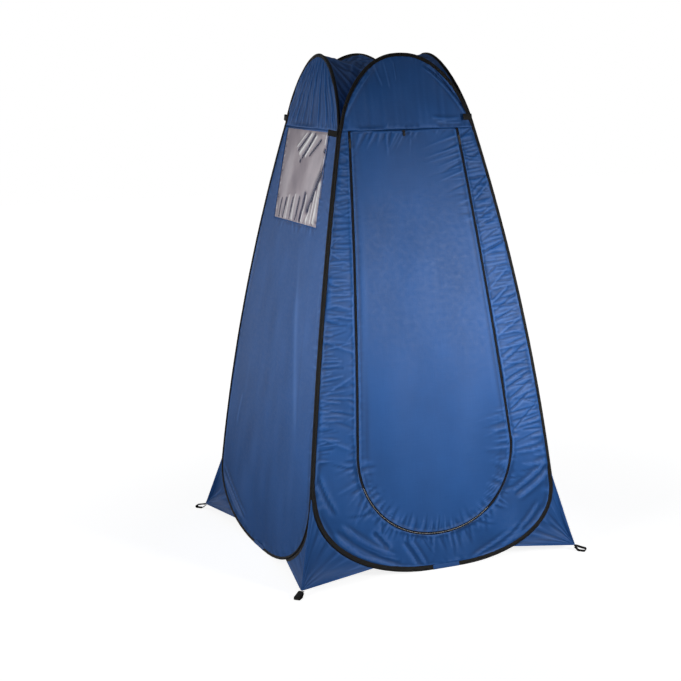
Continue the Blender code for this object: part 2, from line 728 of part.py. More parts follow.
def rounded_end(start, end, low, high):
    """Half an ellipse from the lower edge of a loop to its upper edge, out to its far end."""
    middle = (low + high) / 2
    half = (high - low) / 2
    turns = [math.pi * (i / LOOP_END_STEPS - 0.5) for i in range(LOOP_END_STEPS + 1)]
    return [(start + (end - start) * math.cos(turn), middle + half * math.sin(turn)) for turn in turns]


def make_stake_loop(corner, materials, collection):
    """A webbing loop with an eye for the stake: sewn under the gusset's tip, it lies on the ground beyond."""
    sign = CORNERS[corner]["sign"]
    outward = Vector((sign[0], sign[1], 0)).normalized()
    tip = Vector((sign[0], sign[1], 0)) * GUSSET_TIP_REACH
    flat_start, flat_end = STAKE_LOOP_FLAT
    top = GUSSET_TIP_HEIGHT - CLOTH_THICKNESS / 2 - TOUCH_GAP
    outer = [(-STAKE_LOOP_ROOT, STAKE_LOOP_ROOT_HEIGHT), (flat_start, 0.0)]
    outer += rounded_end(flat_end, STAKE_LOOP_LENGTH, 0.0, STAKE_LOOP_RISE)
    outer += [(STAKE_LOOP_ROOT, top), (-STAKE_LOOP_ROOT, top)]
    inner = offset_outline(outer, LOOP_WEB_THICKNESS)
    return extruded_outline(f"{corner}_stake_loop", [outer, inner], LOOP_WIDTH / 2,
                            frame_matrix(tip, outward, (0, 0, 1)), materials["webbing"], collection)


def loop_outline():
    """A flattened webbing loop seen along its width: its sewn end at x = 0, its eye at the far end."""
    half = GUY_LOOP_OPENING / 2 + LOOP_WEB_THICKNESS
    outer = [(0.0, -half)] + rounded_end(GUY_LOOP_LENGTH - half, GUY_LOOP_LENGTH, -half, half) + [(0.0, half)]
    return [outer, offset_outline(outer, LOOP_WEB_THICKNESS)]


def guy_loop_frame(corner, side, direction):
    """Placement of a guy loop on a hoop's sleeve: standing out, or lying across it this way."""
    height = UPPER_JOINT_HEIGHT - GUY_LOOP_DROP[corner]
    end = 1 if SIDES[side]["plus"] == corner else -1
    across = Vector((*SIDES[side]["across"], 0))
    surface = on_side(side, inside_hoop(side, end, 0.0, height), height)
    normal = side_normal(side, height)
    if direction == "out":
        return frame_matrix(surface + normal * (SLEEVE_RADIUS + TOUCH_GAP), normal, across)
    lift = SLEEVE_RADIUS + TOUCH_GAP + GUY_LOOP_OPENING / 2 + LOOP_WEB_THICKNESS
    return frame_matrix(surface + normal * lift, across * direction, normal)


def make_guy_loop(corner, materials, collection):
    side, direction = GUY_LOOPS[corner]
    return extruded_outline(f"{corner}_guy_loop", loop_outline(), LOOP_WIDTH / 2,
                            guy_loop_frame(corner, side, direction), materials["webbing"], collection)


def make_roof(materials, collection):
    """The roof cloth: from the inner side of the four arches, with a valley to each upper joint."""
    rim = []
    inner = SLEEVE_RADIUS + TOUCH_GAP + CLOTH_THICKNESS
    for side in SIDES:
        turns = [math.pi / 2 * i / UPPER_ARC_STEPS for i in range(UPPER_ARC_STEPS + 1)]
        arch = [upper_arc_point(side, -1, turn) for turn in turns[:-1]]
        arch += [upper_arc_point(side, 1, turn) for turn in turns[:0:-1]]
        corner = reach(UPPER_JOINT_HEIGHT) - ROOF_CORNER_SETBACK
        rim.append(place(side, -corner, corner, UPPER_JOINT_HEIGHT))
        for lateral, height in arch[1:]:
            limit = reach(height) - inner
            rim.append(place(side, max(-limit, min(limit, lateral)), limit, height))
    peak = Vector((0, 0, HEIGHT - ROOF_MIDDLE_DROP))
    ring = [point.lerp(peak, ROOF_RING_SHARE) - Vector((0, 0, ROOF_RING_SAG)) for point in rim]
    mesh = bpy.data.meshes.new("roof")
    bm = bmesh.new()
    rim_verts = [bm.verts.new(point) for point in rim]
    ring_verts = [bm.verts.new(point) for point in ring]
    peak_vert = bm.verts.new(peak)
    count = len(rim)
    for i in range(count):
        after = (i + 1) % count
        bm.faces.new((rim_verts[i], rim_verts[after], ring_verts[after], ring_verts[i]))
        bm.faces.new((ring_verts[i], ring_verts[after], peak_vert))
    bmesh.ops.recalc_face_normals(bm, faces=bm.faces)
    bm.to_mesh(mesh)
    bm.free()
    roof = add_object("roof", mesh, materials["cloth"], collection)
    add_solidify(roof, CLOTH_THICKNESS, 0.0).use_even_offset = False
    return roof


def fold_axis(corner):
    """Two points of the straight hinge line of a corner seam.

    An opening corner turns about the outer tangent of its bowed seam, a closing one about a line
    inside both sleeves.
    """
    sign = CORNERS[corner]["sign"]
    low = LOWER_JOINT_HEIGHT[corner]
    high = UPPER_JOINT_HEIGHT
    heights = [low + (high - low) * i / FOLD_LINE_SAMPLES for i in range(FOLD_LINE_SAMPLES + 1)]
    slope = (reach(high) - reach(low)) / (high - low)
    bulge = max(reach(z) - reach(low) - slope * (z - low) for z in heights)
    shift = bulge if corner in ("front_left", "back_right") else -FOLD_LINE_SET
    ends = []
    for height in (0.0, HEIGHT):
        line = reach(low) + slope * (height - low) + shift
        ends.append(Vector((sign[0] * line, sign[1] * line, height)))
    return ends


def add_empty(name, point, axis, collection):
    empty = bpy.data.objects.new(name, None)
    empty.matrix_world = Matrix.Translation(point) @ axis.to_track_quat("Z", "Y").to_matrix().to_4x4()
    empty.empty_display_size = PIVOT_MARK_SIZE
    collection.objects.link(empty)
    return empty


def attach(objects, empty):
    """Parents objects to the empty on their joint's axis, and leaves them where they are."""
    bpy.context.view_layer.update()
    for obj in objects:
        obj.parent = empty
        obj.matrix_parent_inverse = empty.matrix_world.inverted()


def clear_scene():
    for obj in list(bpy.data.objects):
        bpy.data.objects.remove(obj)


def make_collection(name):
    collection = bpy.data.collections.new(name)
    bpy.context.scene.collection.children.link(collection)
    return collection


def build():
    clear_scene()
    tent = make_collection("changing_tent")
    cutters = make_collection("cutters")
    materials = {
        "cloth": make_material("blue_polyester", (0.060, 0.130, 0.340), 0.55),
        "binding": make_material("black_binding", (0.012, 0.012, 0.013), 0.60),
        "webbing": make_material("black_webbing", (0.014, 0.014, 0.015), 0.75),
        "zip": make_material("zip_tape", (0.010, 0.011, 0.016), 0.55),
        "film": make_material("clear_film", (0.420, 0.400, 0.430), 0.15),
        "steel": make_material("spring_steel", (0.350, 0.350, 0.360), 0.35, 1.0),
        "ferrule": make_material("ferrule_brass", (0.560, 0.430, 0.200), 0.40, 1.0),
        "slider": make_material("black_plastic", (0.018, 0.018, 0.020), 0.40),
        "pull": make_material("black_pull", (0.016, 0.016, 0.018), 0.50),
    }
    parts = {side: make_hoop(side, materials, tent) + make_panels(side, materials, tent) for side in SIDES}
    parts["left"].append(make_window(materials, tent))
    frame_tape, door_tape, door = make_zip_and_door(materials, tent)
    parts["front"].append(frame_tape)
    door_parts = [door_tape, door]
    sliders = {}
    pulls = {}
    for sign, word in ((-1, "left"), (1, "right")):
        sliders[word] = make_slider(sign, word, materials, tent, cutters)
        pulls[word] = make_pull(sign, word, materials, tent)
    loop, toggle = make_toggle(materials, tent, cutters)
    door_parts.append(loop)
    for corner, data in CORNERS.items():
        for half_side in data["halves"]:
            parts[half_side].append(make_gusset_half(corner, half_side, materials, tent))
        parts[data["halves"][0]].append(make_stake_loop(corner, materials, tent))
        parts[GUY_LOOPS[corner][0]].append(make_guy_loop(corner, materials, tent))
    make_roof(materials, tent)

    pivots = {}
    for side, corner in (("left", "front_left"), ("right", "front_right"), ("back", "back_right")):
        low, high = fold_axis(corner)
        pivots[side] = add_empty(f"{side}_fold_pivot", low, high - low, tent)
    hinge_middle = sum(door_width(sign)[0] for sign in (-1, 1)) / 2
    hinge_point = on_side("front", hinge_middle, TOP_SEAM_HEIGHT, CLOTH_THICKNESS / 2)
    pivots["door"] = add_empty("door_pivot", hinge_point, Vector((1, 0, 0)), tent)
    attach([pivots["back"]], pivots["right"])
    for side in ("left", "right", "back"):
        attach(parts[side], pivots[side])
    attach(door_parts, pivots["door"])
    for sign, word in ((-1, "left"), (1, "right")):
        centre, axis = slider_pivot(sign)
        run = add_empty(f"{word}_slider_pivot", centre, axis, tent)
        attach([run], pivots["door"])
        attach([sliders[word]], run)
        bar, bar_axis = pull_pivot(sign)
        swing = add_empty(f"{word}_pull_pivot", bar, bar_axis, tent)
        attach([swing], run)
        attach([pulls[word]], swing)
    cord = add_empty("toggle_pivot", toggle.matrix_world.to_translation(), Vector((1, 0, 0)), tent)
    attach([cord], pivots["door"])
    attach([toggle], cord)
    for obj in tent.objects:
        if obj.type == "MESH":
            obj.data.shade_smooth()
            obj.data.set_sharp_from_angle(angle=SMOOTH_ANGLE)


build()
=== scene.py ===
"""Looks of a pop-up changing tent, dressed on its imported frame.

Metres, +Z up, origin on the ground under the middle. The door faces -Y and the window faces -X.
A side's surface is addressed by a lateral place, a height and a lift, which is the distance outside it.
"""

import json
import math

import bpy
import numpy as np
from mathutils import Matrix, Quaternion, Vector


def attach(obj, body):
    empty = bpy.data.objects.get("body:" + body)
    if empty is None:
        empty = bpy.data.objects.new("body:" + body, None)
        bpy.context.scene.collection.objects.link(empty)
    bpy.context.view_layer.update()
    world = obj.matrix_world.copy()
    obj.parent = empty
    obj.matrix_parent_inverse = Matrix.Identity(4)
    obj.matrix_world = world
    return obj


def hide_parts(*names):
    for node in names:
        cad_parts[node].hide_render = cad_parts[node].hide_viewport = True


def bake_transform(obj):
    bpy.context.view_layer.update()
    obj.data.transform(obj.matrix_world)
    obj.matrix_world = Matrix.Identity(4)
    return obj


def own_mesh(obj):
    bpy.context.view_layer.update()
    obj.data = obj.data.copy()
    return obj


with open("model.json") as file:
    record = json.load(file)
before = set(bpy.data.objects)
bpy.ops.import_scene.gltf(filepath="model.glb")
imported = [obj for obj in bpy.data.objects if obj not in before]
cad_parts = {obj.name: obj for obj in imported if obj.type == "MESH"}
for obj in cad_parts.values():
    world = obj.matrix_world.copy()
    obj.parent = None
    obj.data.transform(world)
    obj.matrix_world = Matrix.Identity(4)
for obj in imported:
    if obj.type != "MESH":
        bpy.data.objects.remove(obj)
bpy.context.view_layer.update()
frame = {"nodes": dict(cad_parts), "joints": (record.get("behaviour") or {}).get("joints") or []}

# Construction sizes, as in the part's source
HEIGHT = 1.900
BASE_REACH = 0.523
TOP_REACH = 0.208
PROFILE_BOW = 0.045
ARCH_RISE = 0.267
LOWER_JOINT = {"front_left": 0.325, "front_right": 0.295, "back_right": 0.270, "back_left": 0.240}
LOWER_ROUNDNESS = 2.1
UPPER_ROUNDNESS = {"front": 2.3, "right": 2.15, "back": 1.95, "left": 2.0}
TOP_SWAY = {"front": 0.0, "right": 0.0, "back": -0.006, "left": -0.075}
BOTTOM_SWAY = {"front": 0.030, "right": 0.0, "back": 0.0, "left": 0.0}
SLEEVE_RADIUS = 0.0045
TOUCH_GAP = 0.0003
FOOT = 0.048
TOP_SEAM_DROP = 0.013
DOOR_TOP_INSET = {-1: 0.027, 1: 0.063}
DOOR_LOW_INSET = {-1: 0.162, 1: 0.142}
DOOR_WIDEST = 0.450
DOOR_BOTTOM = 0.130
DOOR_ROUNDNESS = 2.1
TAPE_WIDTH = 0.0058
ZIP_PARTING = 0.0012
DOOR_HINGE_GAP = 0.0006
SLIDER_REST_DROP = 0.034
TOGGLE_LATERAL = -0.021
TOGGLE_PIVOT_DROP = 0.0075
TOGGLE_STANDOFF = 0.0060
WINDOW_SEAM_DROP = 0.008
WINDOW_HEIGHT = 0.344
WINDOW_TOP_INSET = {-1: 0.037, 1: 0.093}
WINDOW_BOTTOM_INSET = {-1: 0.133, 1: 0.120}
GUSSET_TIP_RUN = 0.043
GUSSET_TIP_HEIGHT = 0.020
GUSSET_END_SHARE = 3 / 9
LOOP_WIDTH = 0.022
LOOP_WEB = 0.0014
STAKE_LOOP_LENGTH = 0.042
STAKE_LOOP_FLAT = (0.0126, 0.0360)
STAKE_LOOP_RISE = 0.013
GUY_LOOP_LENGTH = 0.034
GUY_LOOP_OPENING = 0.0096
GUY_LOOP_DROP = {"front_left": 0.024, "front_right": -0.024, "back_right": 0.018, "back_left": -0.010}
GUY_LOOPS = {"front_left": ("left", "out"), "front_right": ("front", -1), "back_right": ("back", -1),
             "back_left": ("back", "out")}
ROOF_MIDDLE_DROP = 0.038
ROOF_SAG = 0.010
ROOF_CORNER_SETBACK = 0.0110

UPPER_JOINT = HEIGHT - ARCH_RISE
TOP_SEAM = UPPER_JOINT - TOP_SEAM_DROP
WINDOW_TOP = TOP_SEAM - WINDOW_SEAM_DROP
WINDOW_BOTTOM = WINDOW_TOP - WINDOW_HEIGHT
GUSSET_TIP_REACH = BASE_REACH + GUSSET_TIP_RUN
SEAM_SET = (2 * SLEEVE_RADIUS + TOUCH_GAP) / math.sqrt(2)
SIDES = {
    "front": {"out": (0, -1), "across": (1, 0), "minus": "front_left", "plus": "front_right"},
    "right": {"out": (1, 0), "across": (0, 1), "minus": "front_right", "plus": "back_right"},
    "back": {"out": (0, 1), "across": (-1, 0), "minus": "back_right", "plus": "back_left"},
    "left": {"out": (-1, 0), "across": (0, -1), "minus": "back_left", "plus": "front_left"},
}
CORNERS = {
    "front_left": {"sign": (-1, -1), "halves": ("front", "left")},
    "front_right": {"sign": (1, -1), "halves": ("front", "right")},
    "back_right": {"sign": (1, 1), "halves": ("back", "right")},
    "back_left": {"sign": (-1, 1), "halves": ("back", "left")},
}

# Sizes of the finish
CLOTH_EDGE = 0.0042
CLOTH_THICK = 0.0006
HOOP_SPACING = 0.006
FIN_TOP = 0.0094
FIN_FOOT = {"front": {-1: 0.0150, 1: 0.0120}, "right": {-1: 0.0120, 1: 0.0120},
            "back": {-1: 0.0120, 1: 0.0120}, "left": {-1: 0.0062, 1: 0.0066}}
FIN_SEAM = 0.0052
SEAM_SQUEEZE = {"front_left": 0.15, "front_right": 0.15, "back_right": 0.15, "back_left": -0.03}
ZIP_LAP = 0.0014
LAP_LIFT = 0.0015
GUSSET_TUCK = 0.0012
# Rows of binding along the front left gusset's rim, and above a height the same black cloth as painted shade in the
# deep fold.
GUSSET_BOUND_ROWS = 3
GUSSET_SHADE_HEIGHT = 0.235
DOOR_FINE = 1.380
HINGE_ROOM = 0.008
HINGE_SLACK = 0.0006
QUARTER = math.pi / 2


def profile_circle():
    """Reach and height of the centre of the arc that each side follows, and the arc's radius."""
    chord = math.hypot(HEIGHT, BASE_REACH - TOP_REACH)
    radius = chord**2 / (8 * PROFILE_BOW) + PROFILE_BOW / 2
    to_centre = radius - PROFILE_BOW
    reach_at = (BASE_REACH + TOP_REACH) / 2 - to_centre * HEIGHT / chord
    height = HEIGHT / 2 - to_centre * (BASE_REACH - TOP_REACH) / chord
    return reach_at, height, radius


ARC_REACH, ARC_HEIGHT, ARC_RADIUS = profile_circle()


def reach(z):
    """Distance of a side's surface from the tent's axis."""
    return ARC_REACH + np.sqrt(ARC_RADIUS**2 - (np.asarray(z, float) - ARC_HEIGHT) ** 2)


def lean(z):
    rise = np.asarray(z, float) - ARC_HEIGHT
    return -rise / np.sqrt(ARC_RADIUS**2 - rise**2)


def place(side, lateral, outward, height):
    """World points from lateral place, distance from the axis and height."""
    out = SIDES[side]["out"]
    across = SIDES[side]["across"]
    lateral, outward, height = np.broadcast_arrays(lateral, outward, height)
    x = out[0] * outward + across[0] * lateral
    y = out[1] * outward + across[1] * lateral
    return np.stack((x, y, height), -1).astype(float)


def side_normal(side, z):
    normal = place(side, 0.0, 1.0, -lean(z))
    return normal / np.linalg.norm(normal, axis=-1, keepdims=True)


def on_side(side, u, z, lift=0.0):
    lift = np.asarray(lift, float)
    return place(side, u, reach(z), z) + side_normal(side, z) * lift[..., None]


def corner_of(side, sign):
    return SIDES[side]["plus" if sign > 0 else "minus"]


def hoop_half(side, sign):
    """The middle line of half a hoop as (lateral, height), from the foot up to the top."""
    joint = LOWER_JOINT[corner_of(side, sign)]
    turn = np.linspace(0.0, QUARTER, 200)
    sine = np.sin(turn)
    cosine = np.clip(np.cos(turn), 0, 1)
    drop = cosine ** (2 / LOWER_ROUNDNESS)
    low_z = joint - (joint - SLEEVE_RADIUS) * drop
    low_wide = FOOT + (reach(low_z) - SEAM_SET - FOOT) * sine ** (2 / LOWER_ROUNDNESS)
    low_u = sign * low_wide + BOTTOM_SWAY[side] * drop
    mid_z = np.linspace(joint, UPPER_JOINT, 240)[1:-1]
    mid_u = sign * (reach(mid_z) - SEAM_SET)
    rise = sine ** (2 / UPPER_ROUNDNESS[side])
    wide = cosine ** (2 / UPPER_ROUNDNESS[side])
    top_z = UPPER_JOINT + (HEIGHT - SLEEVE_RADIUS - UPPER_JOINT) * rise
    top_u = sign * (reach(top_z) - SEAM_SET) * wide + TOP_SWAY[side] * rise
    return np.concatenate((low_u, mid_u, top_u)), np.concatenate((low_z, mid_z, top_z))


def line_length(u, z):
    return np.concatenate(([0.0], np.cumsum(np.hypot(np.diff(u), np.diff(z)))))


def resample(u, z, spacing):
    s = line_length(u, z)
    at = np.linspace(0.0, s[-1], max(2, round(s[-1] / spacing) + 1))
    return np.interp(at, s, u), np.interp(at, s, z)


def left_of(u, z):
    """Unit direction to the left of a line at each of its points."""
    du = np.gradient(u)
    dz = np.gradient(z)
    size = np.maximum(np.hypot(du, dz), 1e-12)
    return -dz / size, du / size


def shifted(u, z, distance):
    nu, nz = left_of(u, z)
    return u + nu * distance, z + nz * distance


def hoop_line(side, spacing=HOOP_SPACING, inset=0.0):
    """The whole hoop anticlockwise from its foot's right end to its foot's left end."""
    plus = hoop_half(side, 1)
    minus = hoop_half(side, -1)
    u = np.concatenate((plus[0], minus[0][-2::-1]))
    z = np.concatenate((plus[1], minus[1][-2::-1]))
    u, z = resample(u, z, spacing)
    return shifted(u, z, inset) if inset else (u, z)


def hoop_lateral(side, sign, z, inset=0.0):
    """Lateral place at each height of the line this far inside half a hoop."""
    u, heights = hoop_half(side, sign)
    u, heights = shifted(*resample(u, heights, 0.002), sign * inset)
    return np.interp(z, np.maximum.accumulate(heights), u)


def zip_side_width(sign):
    """Lateral places of the zip's outer edge on one side: at the seam, and where the door is widest."""
    top = hoop_lateral("front", sign, TOP_SEAM) - sign * DOOR_TOP_INSET[sign]
    low = hoop_lateral("front", sign, DOOR_WIDEST) - sign * DOOR_LOW_INSET[sign]
    return float(top), float(low)


ZIP_MIDDLE = sum(zip_side_width(sign)[1] for sign in (-1, 1)) / 2


def zip_line(inset=0.0, spacing=0.005, top=TOP_SEAM):
    """The zip's outer edge from the seam down the left, round and up the right, moved towards the door."""
    halves = []
    for sign in (-1, 1):
        high, low = zip_side_width(sign)
        turn = np.linspace(0.0, QUARTER, 120)
        wide = np.clip(np.cos(turn), 0, 1) ** (2 / DOOR_ROUNDNESS)
        drop = np.sin(turn) ** (2 / DOOR_ROUNDNESS)
        straight_z = np.linspace(TOP_SEAM + 0.01, DOOR_WIDEST, 200)[:-1]
        straight_u = high + (low - high) * (TOP_SEAM - straight_z) / (TOP_SEAM - DOOR_WIDEST)
        arc_u = ZIP_MIDDLE + (low - ZIP_MIDDLE) * wide
        arc_z = DOOR_WIDEST - (DOOR_WIDEST - DOOR_BOTTOM) * drop
        halves.append((np.concatenate((straight_u, arc_u)), np.concatenate((straight_z, arc_z))))
    u = np.concatenate((halves[0][0], halves[1][0][-2::-1]))
    z = np.concatenate((halves[0][1], halves[1][1][-2::-1]))
    u, z = shifted(*resample(u, z, 0.003), inset)
    keep = z <= top
    first = np.argmax(keep)
    last = len(z) - np.argmax(keep[::-1]) - 1
    ends = []
    for inner, outer in ((first, first - 1), (last, last + 1)):
        share = (top - z[inner]) / (z[outer] - z[inner])
        ends.append(u[inner] + (u[outer] - u[inner]) * share)
    u = np.concatenate(([ends[0]], u[first:last + 1], [ends[1]]))
    z = np.concatenate(([top], z[first:last + 1], [top]))
    return resample(u, z, spacing)


def window_edges(z):
    """Lateral places of the window's back and front edges at each height."""
    share = (np.asarray(z, float) - WINDOW_BOTTOM) / WINDOW_HEIGHT
    edges = []
    for sign in (-1, 1):
        low = hoop_lateral("left", sign, WINDOW_BOTTOM) - sign * WINDOW_BOTTOM_INSET[sign]
        high = hoop_lateral("left", sign, WINDOW_TOP) - sign * WINDOW_TOP_INSET[sign]
        edges.append(low + (high - low) * share)
    return edges


# Wrinkles

def waves(u, z, wavelength, seed, stretch=1.0, count=14):
    """Soft random undulation of about unit height, longer along z by the stretch."""
    rng = np.random.default_rng(seed)
    total = np.zeros(np.shape(u))
    for _ in range(count):
        turn = rng.uniform(0, 2 * math.pi)
        k = 2 * math.pi / (wavelength * rng.uniform(0.7, 1.6))
        total += np.sin(k * (math.cos(turn) * u + math.sin(turn) * z / stretch) + rng.uniform(0, 2 * math.pi))
    return total * math.sqrt(2 / count)


def gathers(along, away, total, pitch, width, run, depth, seed, tilt=0.0, spread=0.15, span=False,
            start=0.0, power=1.4, ridges=0.5):
    """Short random wrinkles that start at an edge and run away from it, or across to the next edge."""
    rng = np.random.default_rng(seed)
    lift = np.zeros(np.shape(along))
    count = int(total / pitch)
    for i in range(count):
        centre = start + (i + 0.5 + rng.uniform(-0.45, 0.45)) * pitch
        wide = width * rng.uniform(0.7, 1.5)
        far = run * rng.uniform(0.45, 1.25)
        deep = depth * rng.uniform(0.35, 1.15) * (1 if rng.uniform() < ridges else -1)
        slope = tilt + rng.normal(0, spread)
        near = (np.abs(along - centre - slope * away) < 4 * wide) & (away < far) & (away >= 0)
        x = np.abs((along[near] - centre - slope * away[near]) / wide)
        share = away[near] / far
        fade = np.sin(math.pi * np.clip(share, 0, 1)) ** 0.6 if span else (1 - share) ** 1.3
        pinned = 1 - np.exp(-away[near] / 0.004)
        lift[near] += deep * np.exp(-(x**power)) * fade * pinned
    return lift


def crease(u, z, start, end, width, depth, fade=0.12):
    """One straight fold from a start to an end, deeper in its middle."""
    start = np.array(start)
    end = np.array(end)
    length = np.linalg.norm(end - start)
    direction = (end - start) / length
    t = ((u - start[0]) * direction[0] + (z - start[1]) * direction[1]) / length
    side = -(u - start[0]) * direction[1] + (z - start[1]) * direction[0]
    inside = np.clip(t / fade, 0, 1) * np.clip((1 - t) / fade, 0, 1)
    return depth * np.exp(-((np.abs(side) / width) ** 1.3)) * inside


def bent_folds(u, z, folds):
    """Folds that bend through a start, a middle and an end, each with its half width and height."""
    lift = np.zeros(np.shape(u))
    t = np.linspace(0, 1, 30)[:, None]
    for points, width, depth in folds:
        start, middle, end = np.array(points)
        line = start * (1 - t) * (1 - 2 * t) + middle * 4 * t * (1 - t) + end * t * (2 * t - 1)
        along, away = nearest(u, z, line[:, 0], line[:, 1])
        share = along / line_length(line[:, 0], line[:, 1])[-1]
        ends = smooth_step(share / 0.25) * smooth_step((1 - share) / 0.25)
        lift += depth * np.exp(-((away / width) ** 1.4)) * ends
    return lift


def smooth_step(x):
    x = np.clip(x, 0, 1)
    return x * x * (3 - 2 * x)


def hem(away, width=0.0022, height=0.0009):
    """The rounded lip of a folded cloth edge."""
    return height * np.exp(-(((away - width * 0.6) / (width * 0.55)) ** 2))


def zip_hem(away):
    """The folded edge that laps over a zip tape and comes down to the cloth's own level beside it."""
    return LAP_LIFT * (1 - smooth_step((away - 0.003) / 0.009)) + hem(away, height=0.0007)


# Meshes

def add_mesh(name, points, faces, material, cut=None, fold_shading=None, thickness=0.0, smooth=True):
    mesh = bpy.data.meshes.new(name)
    points = np.asarray(points, float).reshape(-1, 3)
    mesh.from_pydata(points.tolist(), [], [list(map(int, face)) for face in faces])
    mesh.materials.append(material)
    if cut is not None:
        layer = mesh.attributes.new("cut", "FLOAT_VECTOR", "POINT")
        layer.data.foreach_set("vector", np.asarray(cut, np.float32).ravel())
    # The fold shading that the materials paint: shade in grooves and on the film's folds, light and highlights on
    # ridges.
    if fold_shading is not None:
        layer = mesh.attributes.new("fold_shading", "FLOAT", "POINT")
        layer.data.foreach_set("value", np.asarray(fold_shading, np.float32).ravel())
    mesh.validate()
    mesh.update()
    if smooth:
        mesh.shade_smooth()
    obj = bpy.data.objects.new(name, mesh)
    bpy.context.scene.collection.objects.link(obj)
    if thickness:
        solid = obj.modifiers.new("thickness", "SOLIDIFY")
        solid.thickness = thickness
        solid.offset = -1.0
        solid.use_even_offset = False
    return obj


def grid_faces(rows, columns, keep=None):
    index = np.arange(rows * columns).reshape(rows, columns)
    quads = np.stack((index[:-1, :-1], index[:-1, 1:], index[1:, 1:], index[1:, :-1]), -1)
    if keep is not None:
        return quads[keep]
    return quads.reshape(-1, 4)


def grid_area(points, keep=None):
    a = points[:-1, :-1]
    b = points[:-1, 1:]
    c = points[1:, 1:]
    d = points[1:, :-1]
    area = np.linalg.norm(np.cross(c - a, d - b), axis=-1) / 2
    return float(area[keep].sum() if keep is not None else area.sum())


def crest_of(lift):
    """How far each grid point stands over its neighbours, from -1 in a groove to 1 on a ridge. The cloth material
    paints shade in the grooves and light on the ridges from it.
    """
    padded = np.pad(lift, 2, mode="edge")
    around = np.zeros(lift.shape)
    for row in range(5):
        for column in range(5):
            around += padded[row:row + lift.shape[0], column:column + lift.shape[1]] / 25
    return np.clip((lift - around) / 0.0005, -1, 1)


def sheet(name, side, u, z, lift, material, body, nodes, keep=None,
          flat=None, thickness=CLOTH_THICK):
    """A cloth sheet on a side from grids of lateral place, height and lift."""
    points = on_side(side, u, z, lift)
    cut = np.stack((u, z, np.zeros(u.shape)), -1)
    obj = add_mesh(name, points, grid_faces(*u.shape, keep), material, cut, crest_of(lift), thickness)
    return dress(obj, body, nodes, points, on_side(side, u, z), keep, flat)


def dress(obj, body, nodes, points, smooth_points, keep=None, flat=None):
    if body:
        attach(obj, body)
    if nodes:
        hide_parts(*nodes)
    area = grid_area(smooth_points, keep)
    if flat is None:
        spans = np.ptp(points.reshape(-1, 3), axis=0)
        flat = (float(max(spans[0], spans[1])), float(spans[2]))
    if not 0.31 * flat[0] * flat[1] <= area <= flat[0] * flat[1]:
        flat = (area / flat[1] * 1.02, flat[1])
    return obj


def sweep(name, side, u, z, section, material, body, nodes=(), closed_ends=True, cut_scale=1.0):
    """A closed section carried along a line on a side. The section gives the way to the line's left and the lift."""
    inward, lift = (np.broadcast_to(part, (len(u), np.shape(part)[-1])) for part in section)
    nu, nz = left_of(u, z)
    grid_u = u[:, None] + nu[:, None] * inward
    grid_z = z[:, None] + nz[:, None] * inward
    points = on_side(side, grid_u, grid_z, lift)
    rows, columns = inward.shape
    index = np.arange(rows * columns).reshape(rows, columns)
    following = np.roll(index, -1, axis=1)
    quads = np.stack((index[:-1], index[1:], following[1:], following[:-1]), -1).reshape(-1, 4).tolist()
    if closed_ends:
        quads.append(index[0].tolist())
        quads.append(index[-1][::-1].tolist())
    along = np.broadcast_to(line_length(u, z)[:, None] * cut_scale, inward.shape)
    cut = np.stack((along, inward, lift), -1)
    obj = add_mesh(name, points, quads, material, cut, np.zeros(points.shape[:2]))
    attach(obj, body)
    if nodes:
        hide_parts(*nodes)
    return obj


def stitches(name, centres, along, across, out, material, body, length=0.0034, radius=0.00042, slot="binding"):
    """A row of separate thread stitches, each a short spindle pressed into the cloth."""
    count = len(centres)
    ends = (along * length / 2, -along * length / 2, across * radius, out * radius, -across * radius,
            -out * radius)
    points = np.stack([centres + end for end in ends], 1)
    faces = []
    for first, second in ((2, 3), (3, 4), (4, 5), (5, 2)):
        faces += [(0, first, second), (1, second, first)]
    faces = (np.arange(count)[:, None, None] * 6 + np.array(faces)[None]).reshape(-1, 3)
    cut = np.repeat(np.stack((np.arange(count) * 0.004, np.zeros(count), np.zeros(count)), -1), 6, axis=0)
    obj = add_mesh(name, points, faces, material, cut, np.zeros(count * 6))
    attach(obj, body)
    return obj


def stitch_line(side, u, z, lift, pitch):
    """Centres and directions for stitches along a line on a side."""
    u, z = resample(u, z, pitch)
    centres = on_side(side, u, z, np.full(len(u), lift))
    along = np.gradient(centres, axis=0)
    along /= np.linalg.norm(along, axis=1, keepdims=True)
    out = side_normal(side, z)
    return centres, along, np.cross(out, along), out


def stitch_rows(name, side, lines, material, body, pitch=0.0048, **options):
    rows = [stitch_line(side, u, z, lift, pitch) for u, z, lift in lines]
    parts = [np.concatenate(part) for part in zip(*rows)]
    return stitches(name, *parts, material, body, **options)


# Materials

def new_material(name, colour, roughness, metallic=0.0):
    material = bpy.data.materials.new(name)
    material.use_nodes = True
    shader = material.node_tree.nodes["Principled BSDF"]
    shader.inputs["Base Color"].default_value = (*colour, 1.0)
    shader.inputs["Roughness"].default_value = roughness
    shader.inputs["Metallic"].default_value = metallic
    return material, shader


